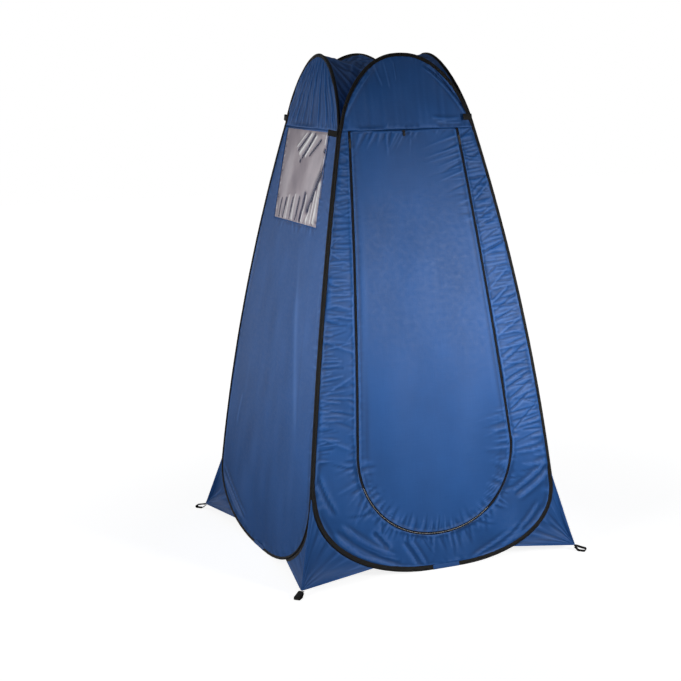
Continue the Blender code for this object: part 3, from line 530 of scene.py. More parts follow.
class Nodes:
    """Short calls that add and join shader nodes."""

    def __init__(self, material):
        self.tree = material.node_tree

    def add(self, kind, **values):
        node = self.tree.nodes.new(kind)
        for name, value in values.items():
            setattr(node, name, value)
        return node

    def link(self, source, target):
        self.tree.links.new(source, target)

    def math(self, operation, a, b=0.0, c=0.0):
        node = self.add("ShaderNodeMath", operation=operation)
        for socket, value in zip(node.inputs, (a, b, c)):
            if isinstance(value, (int, float)):
                socket.default_value = value
            else:
                self.link(value, socket)
        return node.outputs[0]

    def attribute(self, name):
        return self.add("ShaderNodeAttribute", attribute_name=name)

    def scaled(self, vector, scale):
        node = self.add("ShaderNodeVectorMath", operation="MULTIPLY")
        self.link(vector, node.inputs[0])
        node.inputs[1].default_value = scale
        return node.outputs[0]

    def noise(self, vector, scale=1.0, detail=3.0, roughness=0.5):
        node = self.add("ShaderNodeTexNoise")
        self.link(vector, node.inputs["Vector"])
        node.inputs["Scale"].default_value = scale
        node.inputs["Detail"].default_value = detail
        node.inputs["Roughness"].default_value = roughness
        return node.outputs["Fac"]

    def ramp(self, value, stops):
        node = self.add("ShaderNodeValToRGB")
        self.link(value, node.inputs[0])
        elements = node.color_ramp.elements
        while len(elements) < len(stops):
            elements.new(0.5)
        for element, (position, colour) in zip(elements, stops):
            element.position = position
            element.color = (*colour, 1.0)
        return node.outputs[0]

    def mix(self, share, a, b, blend="MIX"):
        node = self.add("ShaderNodeMix", data_type="RGBA", blend_type=blend)
        for socket, value in ((node.inputs[0], share), (node.inputs[6], a), (node.inputs[7], b)):
            if isinstance(value, tuple):
                socket.default_value = (*value, 1.0)
            elif isinstance(value, (int, float)):
                socket.default_value = value
            else:
                self.link(value, socket)
        return node.outputs[2]

    def bump(self, height, distance, strength=1.0, normal=None):
        node = self.add("ShaderNodeBump")
        node.inputs["Strength"].default_value = strength
        node.inputs["Distance"].default_value = distance
        self.link(height, node.inputs["Height"])
        if normal is not None:
            self.link(normal, node.inputs["Normal"])
        return node.outputs["Normal"]

    def split(self, vector):
        node = self.add("ShaderNodeSeparateXYZ")
        self.link(vector, node.inputs[0])
        return node.outputs

    def spread(self, value, low, high):
        """A noise value stretched over a range."""
        node = self.add("ShaderNodeMapRange")
        self.link(value, node.inputs[0])
        node.inputs[1].default_value = 0.3
        node.inputs[2].default_value = 0.7
        node.inputs[3].default_value = low
        node.inputs[4].default_value = high
        return node.outputs[0]


def darker(colour, factor):
    return tuple(channel * factor for channel in colour)


def cloth_material(name, colour, roughness=0.46, sheen=0.03, seed=0.0):
    """Coated polyester taffeta: plain weave, slubs along both threads, soft colour changes, painted shade in the
    wrinkle grooves and painted light on their ridges, which are also mixed paler as wear and a painted highlight.
    """
    material, shader = new_material(name, colour, roughness)
    n = Nodes(material)
    cut = n.attribute("cut").outputs["Vector"]
    offset = n.add("ShaderNodeVectorMath", operation="ADD")
    n.link(cut, offset.inputs[0])
    offset.inputs[1].default_value = (seed, seed * 0.7, seed)
    cut = offset.outputs[0]
    x, y, _ = n.split(cut)
    weave = n.math("MULTIPLY", n.math("SINE", n.math("MULTIPLY", x, 2 * math.pi / 0.0007)),
                   n.math("SINE", n.math("MULTIPLY", y, 2 * math.pi / 0.0007)))
    warp = n.noise(n.scaled(cut, (620, 9, 1)), detail=2)
    weft = n.noise(n.scaled(cut, (9, 620, 1)), detail=2)
    thread = n.math("ADD", warp, weft)
    broad = n.noise(n.scaled(cut, (5.5, 3.5, 5)), detail=4)
    crumple = n.noise(n.scaled(cut, (46, 60, 46)), detail=5, roughness=0.6)
    fold_shading = n.attribute("fold_shading").outputs["Fac"]
    tone_and_shading = n.spread(broad, 0.90, 1.10)
    tone_and_shading = n.math("MULTIPLY", tone_and_shading, n.spread(n.math("MULTIPLY", thread, 0.5), 0.93, 1.07))
    # Painted shade and light: grooves coloured darker and ridges lighter.
    tone_and_shading = n.math("MULTIPLY", tone_and_shading, n.math("MULTIPLY_ADD", fold_shading, 0.30, 1.0))
    toned_and_shaded = n.add("ShaderNodeVectorMath", operation="SCALE")
    toned_and_shaded.inputs[0].default_value = colour
    n.link(tone_and_shading, toned_and_shaded.inputs["Scale"])
    # Ridges mixed towards a paler blue: partly wear, partly a painted highlight.
    worn = n.math("MULTIPLY", n.math("MAXIMUM", fold_shading, 0.0), n.spread(crumple, 0.0, 0.16))
    n.link(n.mix(worn, toned_and_shaded.outputs[0], (0.30, 0.38, 0.52)), shader.inputs["Base Color"])
    n.link(n.math("ADD", n.spread(crumple, -0.06, 0.06), roughness), shader.inputs["Roughness"])
    fine = n.bump(weave, 0.00004, 0.6)
    slub = n.bump(thread, 0.00010, 0.5, fine)
    n.link(n.bump(crumple, 0.0009, 0.35, slub), shader.inputs["Normal"])
    shader.inputs["Specular IOR Level"].default_value = 0.18
    shader.inputs["Sheen Weight"].default_value = sheen
    shader.inputs["Sheen Roughness"].default_value = 0.4
    shader.inputs["Sheen Tint"].default_value = (0.75, 0.82, 1.0, 1.0)
    return material


def tape_material(name, colour, rib, roughness=0.5, sheen=0.10, worn=(0.030, 0.027, 0.022)):
    """Woven tape or webbing: ribs across its length, a herringbone between them, scuffed high places."""
    material, shader = new_material(name, colour, roughness)
    n = Nodes(material)
    cut = n.attribute("cut").outputs["Vector"]
    x, y, _ = n.split(cut)
    ribs = n.math("SINE", n.math("MULTIPLY", x, 2 * math.pi / rib))
    twill = n.math("SINE", n.math("ADD", n.math("MULTIPLY", x, 2 * math.pi / (rib * 1.7)),
                                  n.math("MULTIPLY", n.math("ABSOLUTE", y), 2 * math.pi / (rib * 1.4))))
    fuzz = n.noise(n.scaled(cut, (900, 900, 900)), detail=3)
    scuff = n.noise(n.scaled(cut, (22, 160, 160)), detail=5, roughness=0.65)
    share = n.spread(scuff, 0.0, 0.75)
    n.link(n.mix(share, colour, worn), shader.inputs["Base Color"])
    n.link(n.math("ADD", n.spread(scuff, -0.08, 0.10), roughness), shader.inputs["Roughness"])
    woven = n.math("ADD", n.math("MULTIPLY", ribs, 0.6), n.math("MULTIPLY", twill, 0.5))
    lumps = n.bump(fuzz, 0.00025, 0.4)
    n.link(n.bump(woven, 0.00018, 0.7, lumps), shader.inputs["Normal"])
    shader.inputs["Specular IOR Level"].default_value = 0.28
    shader.inputs["Sheen Weight"].default_value = sheen
    shader.inputs["Sheen Roughness"].default_value = 0.35
    return material


def film_material():
    """Milky glossy film: cloudy where it lies flat, its pale colour partly a painted reflection of the surroundings;
    painted darker in its folds for the shaded inside seen through them, with painted highlights on their ridges.
    """
    material, shader = new_material("clear_film", (0.34, 0.31, 0.34), 0.16)
    n = Nodes(material)
    cut = n.attribute("cut").outputs["Vector"]
    cloud = n.noise(n.scaled(cut, (14, 9, 9)), detail=4)
    haze = n.noise(n.scaled(cut, (160, 60, 60)), detail=3)
    fold = n.attribute("fold_shading").outputs["Fac"]
    # Cloudy film colour, partly a painted reflection of the pale surroundings.
    milky_and_reflection = n.mix(n.spread(cloud, 0, 1), (0.44, 0.39, 0.45), (0.60, 0.53, 0.58))
    # Painted shade: folds coloured navy for the shaded inside seen through the film, which is also made more
    # see-through there.
    painted_dark = n.math("MULTIPLY", n.math("MAXIMUM", n.math("MULTIPLY", fold, -1.0), 0.0), 0.95)
    clear = n.mix(painted_dark, milky_and_reflection, (0.022, 0.040, 0.125))
    # Painted highlights: fold ridges coloured pale as glints of light; the same mask also raises the coat.
    painted_highlight = n.math("MAXIMUM", fold, 0.0)
    n.link(n.mix(painted_highlight, clear, (0.96, 0.96, 0.98)), shader.inputs["Base Color"])
    n.link(n.spread(haze, 0.10, 0.24), shader.inputs["Roughness"])
    n.link(n.math("MULTIPLY_ADD", painted_dark, -0.35, 0.93), shader.inputs["Alpha"])
    n.link(n.bump(haze, 0.0004, 0.5), shader.inputs["Normal"])
    shader.inputs["Specular IOR Level"].default_value = 0.12
    n.link(n.math("MULTIPLY_ADD", painted_highlight, 0.9, 0.08), shader.inputs["Coat Weight"])
    shader.inputs["Coat Roughness"].default_value = 0.20
    return material


def metal_material(name, colour, roughness, line_scale):
    material, shader = new_material(name, colour, roughness, 1.0)
    n = Nodes(material)
    spot = n.add("ShaderNodeTexCoord").outputs["Object"]
    grain = n.noise(n.scaled(spot, (line_scale, line_scale, line_scale * 0.1)), detail=5)
    stain = n.noise(spot, 18.0, detail=4)
    n.link(n.mix(n.spread(stain, 0.0, 0.6), colour, darker(colour, 0.45)), shader.inputs["Base Color"])
    n.link(n.math("ADD", n.spread(grain, -0.10, 0.14), roughness), shader.inputs["Roughness"])
    n.link(n.bump(grain, 0.0002, 0.3), shader.inputs["Normal"])
    return material


def moulded_material(name, colour, roughness):
    material, shader = new_material(name, colour, roughness)
    n = Nodes(material)
    spot = n.add("ShaderNodeTexCoord").outputs["Object"]
    fine = n.noise(spot, 2400.0, detail=2)
    rub = n.noise(spot, 160.0, detail=4)
    n.link(n.mix(n.spread(rub, 0.0, 0.5), colour, (0.06, 0.06, 0.065)), shader.inputs["Base Color"])
    n.link(n.math("ADD", n.spread(rub, -0.08, 0.12), roughness), shader.inputs["Roughness"])
    n.link(n.bump(fine, 0.00008, 0.5), shader.inputs["Normal"])
    return material


BLUE = (0.0255, 0.110, 0.352)
cloth_blue = cloth_material("blue_polyester", BLUE)
cloth_roof = cloth_material("blue_polyester_roof", darker(BLUE, 0.95), seed=3.0)
binding = tape_material("black_binding", (0.0045, 0.0045, 0.0050), 0.0011, roughness=0.50, sheen=0.04,
                        worn=(0.024, 0.020, 0.015))
webbing = tape_material("black_webbing", (0.011, 0.011, 0.012), 0.0016, roughness=0.6)
zip_tape = tape_material("zip_tape", (0.0075, 0.0085, 0.012), 0.0008, roughness=0.5, worn=(0.012, 0.013, 0.018))
zip_coil = moulded_material("zip_coil", (0.006, 0.0065, 0.009), 0.55)
thread = moulded_material("black_thread", (0.014, 0.014, 0.016), 0.55)
blue_thread = moulded_material("blue_thread", (0.040, 0.085, 0.21), 0.5)
film = film_material()
steel = metal_material("spring_steel", (0.34, 0.34, 0.36), 0.32, 900)
brass = metal_material("ferrule_brass", (0.56, 0.42, 0.19), 0.38, 700)
plastic = moulded_material("black_plastic", (0.016, 0.016, 0.018), 0.38)


# Hoops

def joined_share(side, z):
    """1 where the hoop is sewn to its neighbour along a corner seam and 0 on its free arcs, and the seam's squeeze."""
    share = np.empty(len(z))
    squeeze = np.empty(len(z))
    for sign in (1, -1):
        half = np.arange(len(z)) < np.argmax(z) if sign > 0 else np.arange(len(z)) >= np.argmax(z)
        corner = corner_of(side, sign)
        sewn = smooth_step((z - LOWER_JOINT[corner] + 0.03) / 0.09) * smooth_step((UPPER_JOINT + 0.03 - z) / 0.07)
        share[half] = sewn[half]
        squeeze[half] = sewn[half] * SEAM_SQUEEZE[corner]
    return share, squeeze


def fin_width(side, u, z, joined):
    """How far the binding reaches over the cloth: wide on the free arcs, narrow along the joined seams."""
    foot = FIN_FOOT[side]
    swing = smooth_step(np.clip(u / (2 * FOOT) + 0.5, 0, 1))
    free = np.where(z > HEIGHT / 2, FIN_TOP, foot[-1] + (foot[1] - foot[-1]) * swing)
    return free + (FIN_SEAM - free) * joined


def make_sleeve(side, seed):
    u, z = hoop_line(side)
    s = line_length(u, z)
    rng = np.random.default_rng(seed)
    pucker = sum(np.sin(2 * math.pi * s / wave + rng.uniform(0, 6)) for wave in (0.031, 0.047, 0.083, 0.21)) / 4
    joined, squeeze = joined_share(side, z)
    tip = fin_width(side, u, z, joined) + 0.0007 * pucker
    radius = SLEEVE_RADIUS * (1 + 0.05 * np.roll(pucker, 40) - squeeze)
    half = 0.0010 + 0.0003 * np.roll(pucker, 11)
    opening = 0.30
    turns = np.linspace(opening, 2 * math.pi - opening, 11)
    inward = [radius * math.cos(turn) for turn in turns]
    lift = [radius * math.sin(turn) for turn in turns]
    waist = radius + 0.0006
    inward += [waist, tip - 0.0005, tip, tip - 0.0005, waist]
    lift += [-half * 0.8, -half, 0 * tip, half, half * 0.8]
    section = (np.stack(inward, 1), np.stack(lift, 1))
    obj = sweep(f"{side}_binding", side, u, z, section, binding, side, [f"{side}_hoop_sleeve"])
    lines = []
    for way in (1, -1):
        shift_u, shift_z = shifted(u, z, 1.0)
        inner = tip - 0.0022
        lines.append((u + (shift_u - u) * inner, z + (shift_z - z) * inner, way * 0.00125))
    stitch_rows(f"{side}_binding_stitches", side, lines, thread, side)
    return obj


def make_patch(side, seed):
    """The blue cloth tube that closes the binding at the foot, with its ends over the black."""
    sway = BOTTOM_SWAY[side]
    u = np.linspace(-FOOT - 0.006, FOOT + 0.006, 44) + sway
    z = np.full(44, SLEEVE_RADIUS)
    rng = np.random.default_rng(seed)
    bumps = sum(np.sin(u * 2 * math.pi / wave + rng.uniform(0, 6)) for wave in (0.012, 0.019, 0.034)) / 3
    radius = SLEEVE_RADIUS + 0.0005 + 0.0004 * bumps
    turns = np.linspace(0.25, 2 * math.pi - 0.25, 12)
    inward = [radius * math.cos(turn) for turn in turns]
    lift = [radius * math.sin(turn) for turn in turns]
    tip = 0.0125 + 0.0008 * np.roll(bumps, 5)
    inward += [radius + 0.001, tip, tip, radius + 0.001]
    lift += [-0.0013 - 0 * u, -0.0016 - 0 * u, 0.0016 + 0 * u, 0.0013 + 0 * u]
    lowest = -SLEEVE_RADIUS + 0.0
    inward = [np.maximum(part, lowest) for part in inward]
    section = (np.stack(inward, 1), np.stack(lift, 1))
    return sweep(f"{side}_foot_patch", side, u, z, section, cloth_blue, side, [f"{side}_sleeve_patch"])


def make_hoops():
    for number, side in enumerate(SIDES):
        make_sleeve(side, 20 + number)
        make_patch(side, 40 + number)
        for node, metal in ((f"{side}_hoop_wire", steel), (f"{side}_wire_ferrule", brass)):
            mesh = frame["nodes"][node].data
            mesh.materials.clear()
            mesh.materials.append(metal)


# Panels

def lower_heights(bottom, step, breaks=(TOP_SEAM,), turn_rows=46, knee=0.34):
    """Row heights from the foot up, close together where the hoop is nearly level."""
    turn = np.linspace(0, QUARTER, turn_rows)
    heights = list(bottom + (knee - bottom) * (1 - np.cos(turn)))
    for level in breaks:
        count = max(1, round((level - heights[-1]) / step))
        heights += list(np.linspace(heights[-1], level, count + 1)[1:])
    return np.array(heights)


def edge_wrinkles(side, u, z, seed, depth=0.0014, pitch=0.030, run=0.05, width=0.006):
    """Puckers where the cloth is sewn into the binding, all round a hoop."""
    line_u, line_z = hoop_line(side, inset=CLOTH_EDGE)
    along, away = nearest(u, z, line_u, line_z)
    total = line_length(line_u, line_z)[-1]
    lift = gathers(along, away, total, pitch, width, run, depth, seed, spread=0.5)
    return lift, along, away


def nearest(u, z, line_u, line_z):
    """How far along a line its point nearest to each given point lies, and how far away it is."""
    s = line_length(line_u, line_z)
    flat_u = np.ravel(u)
    flat_z = np.ravel(z)
    along = np.empty(flat_u.size)
    away = np.empty(flat_u.size)
    for start in range(0, flat_u.size, 4000):
        pu = flat_u[start:start + 4000]
        pz = flat_z[start:start + 4000]
        square = (pu[:, None] - line_u) ** 2 + (pz[:, None] - line_z) ** 2
        i = square.argmin(1)
        best = np.sqrt(square[np.arange(len(i)), i])
        spot = s[i]
        for j in (np.maximum(i - 1, 0), np.minimum(i, len(line_u) - 2)):
            eu = line_u[j + 1] - line_u[j]
            ez = line_z[j + 1] - line_z[j]
            size = eu**2 + ez**2
            t = np.clip(((pu - line_u[j]) * eu + (pz - line_z[j]) * ez) / size, 0, 1)
            gap = np.hypot(pu - line_u[j] - t * eu, pz - line_z[j] - t * ez)
            spot = np.where(gap < best, s[j] + t * np.sqrt(size), spot)
            best = np.minimum(gap, best)
        along[start:start + 4000] = spot
        away[start:start + 4000] = best
    return along.reshape(np.shape(u)), away.reshape(np.shape(u))


def pinned(away, width=0.010):
    return smooth_step(away / width)


def seam_fade(z, level, width=0.012):
    return smooth_step(np.abs(z - level) / width)


def make_side_panel(side, columns, step, seed):
    """The plain cloth of the right and back sides."""
    bottom = SLEEVE_RADIUS + CLOTH_EDGE
    heights = lower_heights(bottom, step)
    left = hoop_lateral(side, -1, heights, CLOTH_EDGE)
    right = hoop_lateral(side, 1, heights, CLOTH_EDGE)
    t = np.linspace(0, 1, columns)
    u = left[:, None] + (right - left)[:, None] * t
    z = np.broadcast_to(heights[:, None], u.shape)
    lift, along, away = edge_wrinkles(side, u, z, seed)
    drape = waves(u, z, 0.36, seed + 1, 2.2) * 0.0022 + waves(u, z, 0.10, seed + 2, 2.5) * 0.0005
    drape += crease(u, z, (-0.30, 0.34), (-0.12, 0.06), 0.010, 0.0024)
    drape += crease(u, z, (0.32, 0.36), (0.16, 0.07), 0.009, -0.0022)
    top_line = gathers(u + 1, TOP_SEAM - z, 2.0, 0.021, 0.0055, 0.07, 0.0013, seed + 3, spread=0.35)
    lift = (lift + drape * pinned(away, 0.03) + top_line * pinned(away)) * seam_fade(z, TOP_SEAM, 0.008)
    return sheet(f"{side}_cloth", side, u, z, lift, cloth_blue, side, [f"{side}_panel"])


# Folds of the left cloth near its lower back arc, and one down from the window: points, half width and height
LEFT_LOW_FOLDS = (
    (((-0.480, 0.215), (-0.330, 0.128), (-0.160, 0.056)), 0.0055, -0.0056),
    (((-0.470, 0.228), (-0.322, 0.142), (-0.150, 0.072)), 0.0050, 0.0044),
    (((-0.486, 0.196), (-0.352, 0.108), (-0.200, 0.050)), 0.0060, 0.0040),
    (((-0.300, 0.560), (-0.325, 0.480), (-0.340, 0.400)), 0.0120, 0.0012),
)


def make_left_panel():
    """The cloth round the window, with columns that follow the window's edges."""
    side = "left"
    bottom = SLEEVE_RADIUS + CLOTH_EDGE
    heights = lower_heights(bottom, 0.0065, (WINDOW_BOTTOM, WINDOW_TOP, TOP_SEAM))
    left = hoop_lateral(side, -1, heights, CLOTH_EDGE)
    right = hoop_lateral(side, 1, heights, CLOTH_EDGE)
    first, second = window_edges(np.clip(heights, WINDOW_BOTTOM, WINDOW_TOP))
    low = np.searchsorted(heights, WINDOW_BOTTOM - 1e-6)
    shares = [(edge[low] - left[low]) / (right[low] - left[low]) for edge in (first, second)]
    under = heights < WINDOW_BOTTOM
    first[under] = (left + (right - left) * shares[0])[under]
    second[under] = (left + (right - left) * shares[1])[under]
    groups = (24, 46, 26)
    knots = (left, first, second, right)
    columns = []
    for start, end, count in zip(knots, knots[1:], groups):
        t = np.linspace(0, 1, count + 1)[:-1]
        columns.append(start[:, None] + (end - start)[:, None] * t)
    u = np.concatenate((*columns, right[:, None]), 1)
    z = np.broadcast_to(heights[:, None], u.shape)
    row = (heights[:-1] >= WINDOW_BOTTOM - 1e-6) & (heights[1:] <= WINDOW_TOP + 1e-6)
    column = np.zeros(u.shape[1] - 1, bool)
    column[groups[0]:groups[0] + groups[1]] = True
    keep = ~(row[:, None] & column[None])
    lift, along, away = edge_wrinkles(side, u, z, 61, depth=0.0011, pitch=0.034)
    drape = waves(u, z, 0.42, 62, 2.4) * 0.0024 + waves(u, z, 0.12, 63, 2.0) * 0.00022
    drape += bent_folds(u, z, LEFT_LOW_FOLDS)
    drape += crease(u, z, (0.10, 1.22), (0.33, 0.42), 0.070, 0.0050, fade=0.30)
    hole_u, hole_z = window_loop(0.0)
    s, off = nearest(u, z, hole_u, hole_z)
    around = gathers(s, off, line_length(hole_u, hole_z)[-1], 0.017, 0.0045, 0.045, 0.0016, 64, spread=0.4)
    rim = hem(off, 0.0030, 0.0008)
    lift = (lift + drape * pinned(away, 0.03) + around * pinned(away)) * seam_fade(z, TOP_SEAM, 0.008)
    lift = lift * pinned(off, 0.006) + rim
    obj = sheet("left_cloth", side, u, z, lift, cloth_blue, side, ["left_panel"], keep=keep)
    stitch_u, stitch_z = window_loop(-0.0045)
    inner_u, inner_z = window_loop(-0.0085)
    rows = [(stitch_u, stitch_z, 0.0007), (inner_u, inner_z, 0.0004)]
    stitch_rows("window_stitches", side, rows, blue_thread, side, slot="cloth", pitch=0.0042)
    return obj


def window_loop(inset, spacing=0.003):
    """The window's outline, anticlockwise from its lower back corner, moved inwards."""
    low = window_edges(WINDOW_BOTTOM)
    high = window_edges(WINDOW_TOP)
    corners = [(low[0] + inset, WINDOW_BOTTOM + inset), (low[1] - inset, WINDOW_BOTTOM + inset),
               (high[1] - inset, WINDOW_TOP - inset), (high[0] + inset, WINDOW_TOP - inset)]
    corners.append(corners[0])
    u = np.array([float(corner[0]) for corner in corners])
    z = np.array([float(corner[1]) for corner in corners])
    return resample(u, z, spacing)


# Folds of the film as shares of its width and height: start, end, half width and height. A negative height also paints
# shade along the fold, a positive one a highlight.
FILM_FOLDS = (
    ((0.66, 1.00), (0.37, 0.72), 0.0085, 0.0040),
    ((0.73, 0.99), (0.43, 0.68), 0.0090, -0.0036),
    ((0.79, 0.97), (0.52, 0.70), 0.0060, 0.0034),
    ((0.57, 0.99), (0.32, 0.76), 0.0060, -0.0030),
    ((0.50, 0.98), (0.30, 0.80), 0.0036, 0.0022),
    ((0.88, 0.93), (0.62, 0.72), 0.0060, -0.0026),
    ((0.985, 0.99), (0.955, 0.86), 0.0050, 0.0032),
    ((1.02, 0.72), (0.70, 0.10), 0.0190, -0.0062),
    ((0.985, 0.50), (0.93, 0.00), 0.0120, 0.0056),
    ((1.00, 0.80), (0.93, 0.58), 0.0046, 0.0030),
    ((0.90, 0.40), (0.84, 0.00), 0.0060, 0.0036),
    ((0.80, 0.26), (0.74, 0.00), 0.0060, 0.0030),
    ((0.66, 0.36), (0.58, 0.00), 0.0095, -0.0040),
    ((0.71, 0.34), (0.64, 0.00), 0.0042, 0.0034),
    ((0.54, 0.30), (0.48, 0.00), 0.0080, -0.0036),
    ((0.45, 0.32), (0.41, 0.00), 0.0044, 0.0030),
    ((0.38, 0.28), (0.34, 0.00), 0.0080, -0.0034),
    ((0.29, 0.30), (0.26, 0.00), 0.0042, 0.0026),
    ((0.22, 0.26), (0.19, 0.00), 0.0075, -0.0030),
    ((0.12, 0.24), (0.10, 0.00), 0.0060, -0.0026),
    ((0.962, 0.830), (0.945, 0.780), 0.0110, -0.0024),
    ((0.430, 0.690), (0.412, 0.640), 0.0090, -0.0024),
)


def make_window():
    """The film, slack and folded, sewn behind the cloth round its hole."""
    heights = np.linspace(WINDOW_BOTTOM - 0.006, WINDOW_TOP + 0.004, 160)
    first, second = window_edges(heights)
    first = first - 0.006
    second = second + 0.006
    t = np.linspace(0, 1, 180)
    u = first[:, None] + (second - first)[:, None] * t
    z = np.broadcast_to(heights[:, None], u.shape)
    edge_low, edge_high = window_edges(z)
    share_u = (u - edge_low) / (edge_high - edge_low)
    share_z = (z - WINDOW_BOTTOM) / WINDOW_HEIGHT
    wide = 0.42
    lift = np.zeros(u.shape)
    tone_and_shading = np.zeros(u.shape)
    for start, end, width, depth in FILM_FOLDS:
        a = (start[0] * wide, start[1] * WINDOW_HEIGHT)
        b = (end[0] * wide, end[1] * WINDOW_HEIGHT)
        fold = crease(share_u * wide, share_z * WINDOW_HEIGHT, a, b, width, 1.0, fade=0.08)
        lift += depth * fold
        # The fold's sign also paints it: negative height as painted shade, positive height as a painted highlight.
        tone_and_shading += math.copysign(1.0, depth) * np.clip(fold * 1.7 - 0.35, 0, 1)
    small = gathers(share_u * wide, share_z * WINDOW_HEIGHT, wide, 0.0105, 0.0026, 0.070, 1.0, 71, spread=0.22,
                    tilt=0.08)
    small += gathers(share_z * WINDOW_HEIGHT, share_u * wide, WINDOW_HEIGHT, 0.0080, 0.0026, 0.022, 1.6, 72)
    small += gathers(share_z * WINDOW_HEIGHT, (1 - share_u) * wide, WINDOW_HEIGHT, 0.0150, 0.0030, 0.024, 1.0, 74,
                     tilt=0.5)
    lift += small * 0.0028
    # The small gathers add painted shade and painted highlights as well.
    tone_and_shading += small * 0.8
    lift += waves(u, z, 0.15, 73, 1.6) * 0.0016
    edge = np.minimum(np.minimum(share_u, 1 - share_u) * wide, np.minimum(share_z, 1 - share_z) * WINDOW_HEIGHT)
    lift = lift * smooth_step((edge + 0.001) / 0.012) - 0.0010
    points = on_side("left", u, z, lift)
    cut = np.stack((u, z, np.zeros(u.shape)), -1)
    obj = add_mesh("window_film_sheet", points, grid_faces(*u.shape), film, cut, np.clip(tone_and_shading, -1, 1), 0.0004)
    return dress(obj, "left", ["window_film"], points, on_side("left", u, z))


def strip_ends():
    """The lines that the cloth round the door spans: the zip's edge, and the hoop's inner side."""
    step = 0.0040
    zip_u, zip_z = zip_line(ZIP_LAP, 0.002)
    hoop_u, hoop_z = hoop_line("front", 0.002, CLOTH_EDGE)
    rows = np.linspace(TOP_SEAM, DOOR_WIDEST, round((TOP_SEAM - DOOR_WIDEST) / step))
    inner, outer = [], []
    turns = np.linspace(0, math.pi, 190)[1:-1]

    def ray(line_u, line_z):
        low = line_z < DOOR_WIDEST + 0.05
        angle = np.arctan2(DOOR_WIDEST - line_z[low], ZIP_MIDDLE - line_u[low])
        size = np.hypot(DOOR_WIDEST - line_z[low], ZIP_MIDDLE - line_u[low])
        order = np.argsort(angle)
        far = np.interp(turns, angle[order], size[order])
        return ZIP_MIDDLE - far * np.cos(turns), DOOR_WIDEST - far * np.sin(turns)

    for sign in (-1, 1):
        heights = rows if sign < 0 else rows[::-1]
        high, low = zip_side_width(sign)
        zip_side = high - sign * ZIP_LAP + (low - high) * (TOP_SEAM - heights) / (TOP_SEAM - DOOR_WIDEST)
        hoop_side = hoop_lateral("front", sign, heights, CLOTH_EDGE)
        inner.append((zip_side, heights))
        outer.append((hoop_side, heights))
        if sign < 0:
            inner.append(ray(zip_u, zip_z))
            outer.append(ray(hoop_u, hoop_z))
    return [[np.concatenate(part) for part in zip(*group)] for group in (inner, outer)]


# Folds of the cloth round the door, near the front hoop's lower arcs: points, half width and height
FRONT_LOW_FOLDS = (
    (((-0.425, 0.200), (-0.290, 0.078), (-0.150, 0.026)), 0.0085, 0.0062),
    (((-0.412, 0.212), (-0.272, 0.098), (-0.140, 0.044)), 0.0060, -0.0054),
    (((-0.392, 0.226), (-0.262, 0.122), (-0.160, 0.076)), 0.0070, 0.0046),
    (((-0.262, 0.180), (-0.226, 0.138), (-0.196, 0.100)), 0.0080, -0.0060),
    (((-0.140, 0.128), (-0.104, 0.078), (-0.070, 0.018)), 0.0060, -0.0052),
    (((-0.112, 0.126), (-0.080, 0.074), (-0.048, 0.018)), 0.0055, 0.0044),
    (((-0.468, 0.420), (-0.440, 0.330), (-0.395, 0.250)), 0.0070, -0.0040),
    (((0.325, 0.232), (0.408, 0.276), (0.492, 0.340)), 0.0060, -0.0058),
    (((0.322, 0.250), (0.402, 0.296), (0.488, 0.362)), 0.0060, 0.0050),
    (((0.340, 0.216), (0.412, 0.254), (0.484, 0.308)), 0.0050, 0.0034),
    (((0.350, 0.092), (0.408, 0.130), (0.452, 0.184)), 0.0060, -0.0048),
    (((0.336, 0.104), (0.394, 0.144), (0.436, 0.198)), 0.0050, 0.0036),
    (((0.236, 0.046), (0.300, 0.082), (0.352, 0.126)), 0.0060, -0.0044),
    (((0.130, 0.020), (0.220, 0.056), (0.300, 0.104)), 0.0060, 0.0040),
    (((0.206, 0.470), (0.250, 0.440), (0.300, 0.415)), 0.0050, -0.0030),
)


